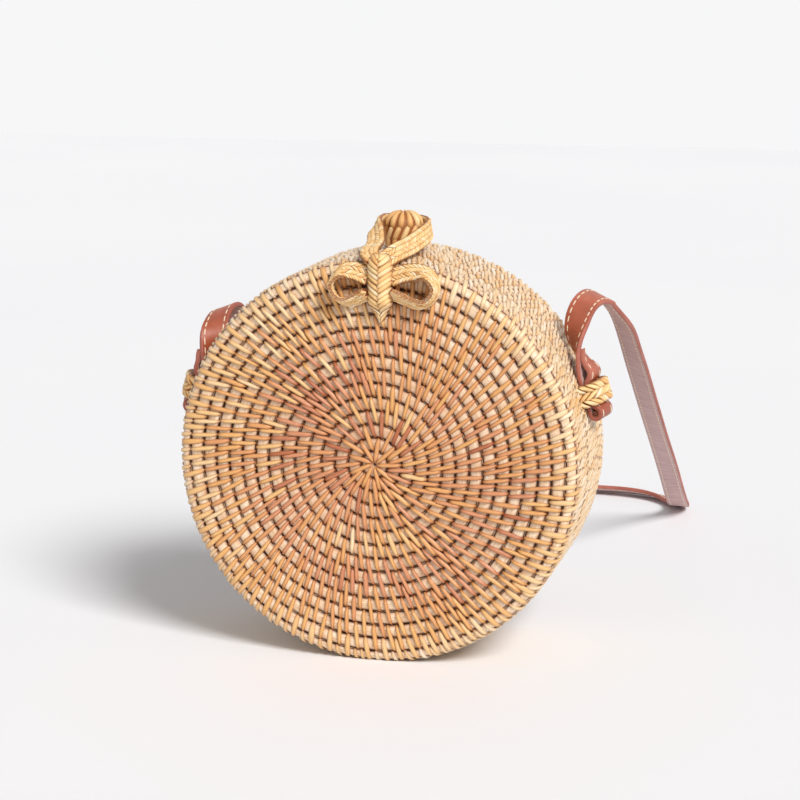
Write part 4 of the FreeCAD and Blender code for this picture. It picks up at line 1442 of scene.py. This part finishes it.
for word, hand in (("front", 1), ("rear", -1)):
    coils(word)
    stitches(word, hand)
    lining_cloth(word)
button()
bow_knot()
clasp_ribbon()
for side, word in RIGHT_LEFT:
    bow_ribbon(side, word)
    strap_fold(side, word)
    keeper(side, word)
    lashing(side, word)
free_strap()


def dress(finish, *names):
    """Give CAD nodes that no piece replaces their material."""
    for name in names:
        nodes[name].data.materials.clear()
        nodes[name].data.materials.append(finish)


dress(HOOP, "front_mouth_hoop", "rear_mouth_hoop", "strap_loop_bar_left", "strap_loop_bar_right")
dress(PEG, "strap_peg_left", "strap_peg_right")
dress(CORD, "button_cord", "button_knot", "bow_cord", "bow_cord_knot")


# Floor, light and camera, in metres

FLOOR_SIZE = 6.0
SKY_LIGHT = (1.0, 0.985, 0.97, 1.0)
SKY_STRENGTH = 0.35
BACKDROP = (0.93, 0.93, 0.94, 1.0)
SUN_PLACE = (0.66, -0.66, 0.92)
SUN_AIM_Z = 0.1
SUN_STRENGTH = 2.95
SUN_TINT = (1.0, 0.985, 0.965)
SUN_SPREAD = 22.0
CAMERA_PLACE = (0.2784, -1.1235, 0.3460)
CAMERA_DOWN = 10.885
CAMERA_TURN = 13.772
CAMERA_SENSOR = 36.0
CAMERA_LENS = 106.3
CAMERA_NEAR = 0.01


def floor():
    bpy.ops.object.select_all(action="DESELECT")
    bpy.ops.mesh.primitive_plane_add(size=FLOOR_SIZE, location=(0, 0, 0))
    made = bpy.context.object
    made.name = "floor"
    finish = Finish("pale_floor")
    body = finish.ramp(finish.noise(finish.place(), scale=1.5), FLOOR_STOPS)
    made.data.materials.append(finish.wear(Base_Color=body, Roughness=0.6, Specular_IOR_Level=0.2))


def world():
    """Soft light from all sides, and a pale backdrop for the rays that see past the floor."""
    sky = Finish("soft_sky", bpy.data.worlds)
    light = sky.node("ShaderNodeBackground", {}, {"Color": SKY_LIGHT, "Strength": SKY_STRENGTH})
    white = sky.node("ShaderNodeBackground", {}, {"Color": BACKDROP, "Strength": 1.0})
    seen, mirrored, passed = (
        sky.node("ShaderNodeLightPath", {}, {}, ray)
        for ray in ("Is Camera Ray", "Is Glossy Ray", "Is Transmission Ray"))
    both = sky.node("ShaderNodeMixShader", {}, {0: seen + mirrored + passed, 1: light, 2: white})
    sky.links.new(both.socket, sky.nodes["World Output"].inputs["Surface"])
    bpy.context.scene.world = sky.material


def placed(name, data):
    holder = bpy.data.objects.new(name, data)
    bpy.context.scene.collection.objects.link(holder)
    return holder


def sun():
    light = bpy.data.lights.new("sun", "SUN")
    light.energy = SUN_STRENGTH
    light.color = SUN_TINT
    light.angle = math.radians(SUN_SPREAD)
    holder = placed("sun", light)
    holder.location = SUN_PLACE
    x, y, z = SUN_PLACE
    holder.rotation_euler = (math.atan2(math.hypot(x, y), z - SUN_AIM_Z), 0.0, math.atan2(x, -y))


def camera():
    view = bpy.data.cameras.new("camera")
    view.sensor_width = CAMERA_SENSOR
    view.lens = CAMERA_LENS
    view.clip_start = CAMERA_NEAR
    holder = placed("camera", view)
    holder.location = CAMERA_PLACE
    holder.rotation_euler = (math.radians(90 - CAMERA_DOWN), 0.0, math.radians(CAMERA_TURN))
    bpy.context.scene.camera = holder


floor()
world()
sun()
camera()
bpy.context.scene.view_settings.view_transform = "Standard"
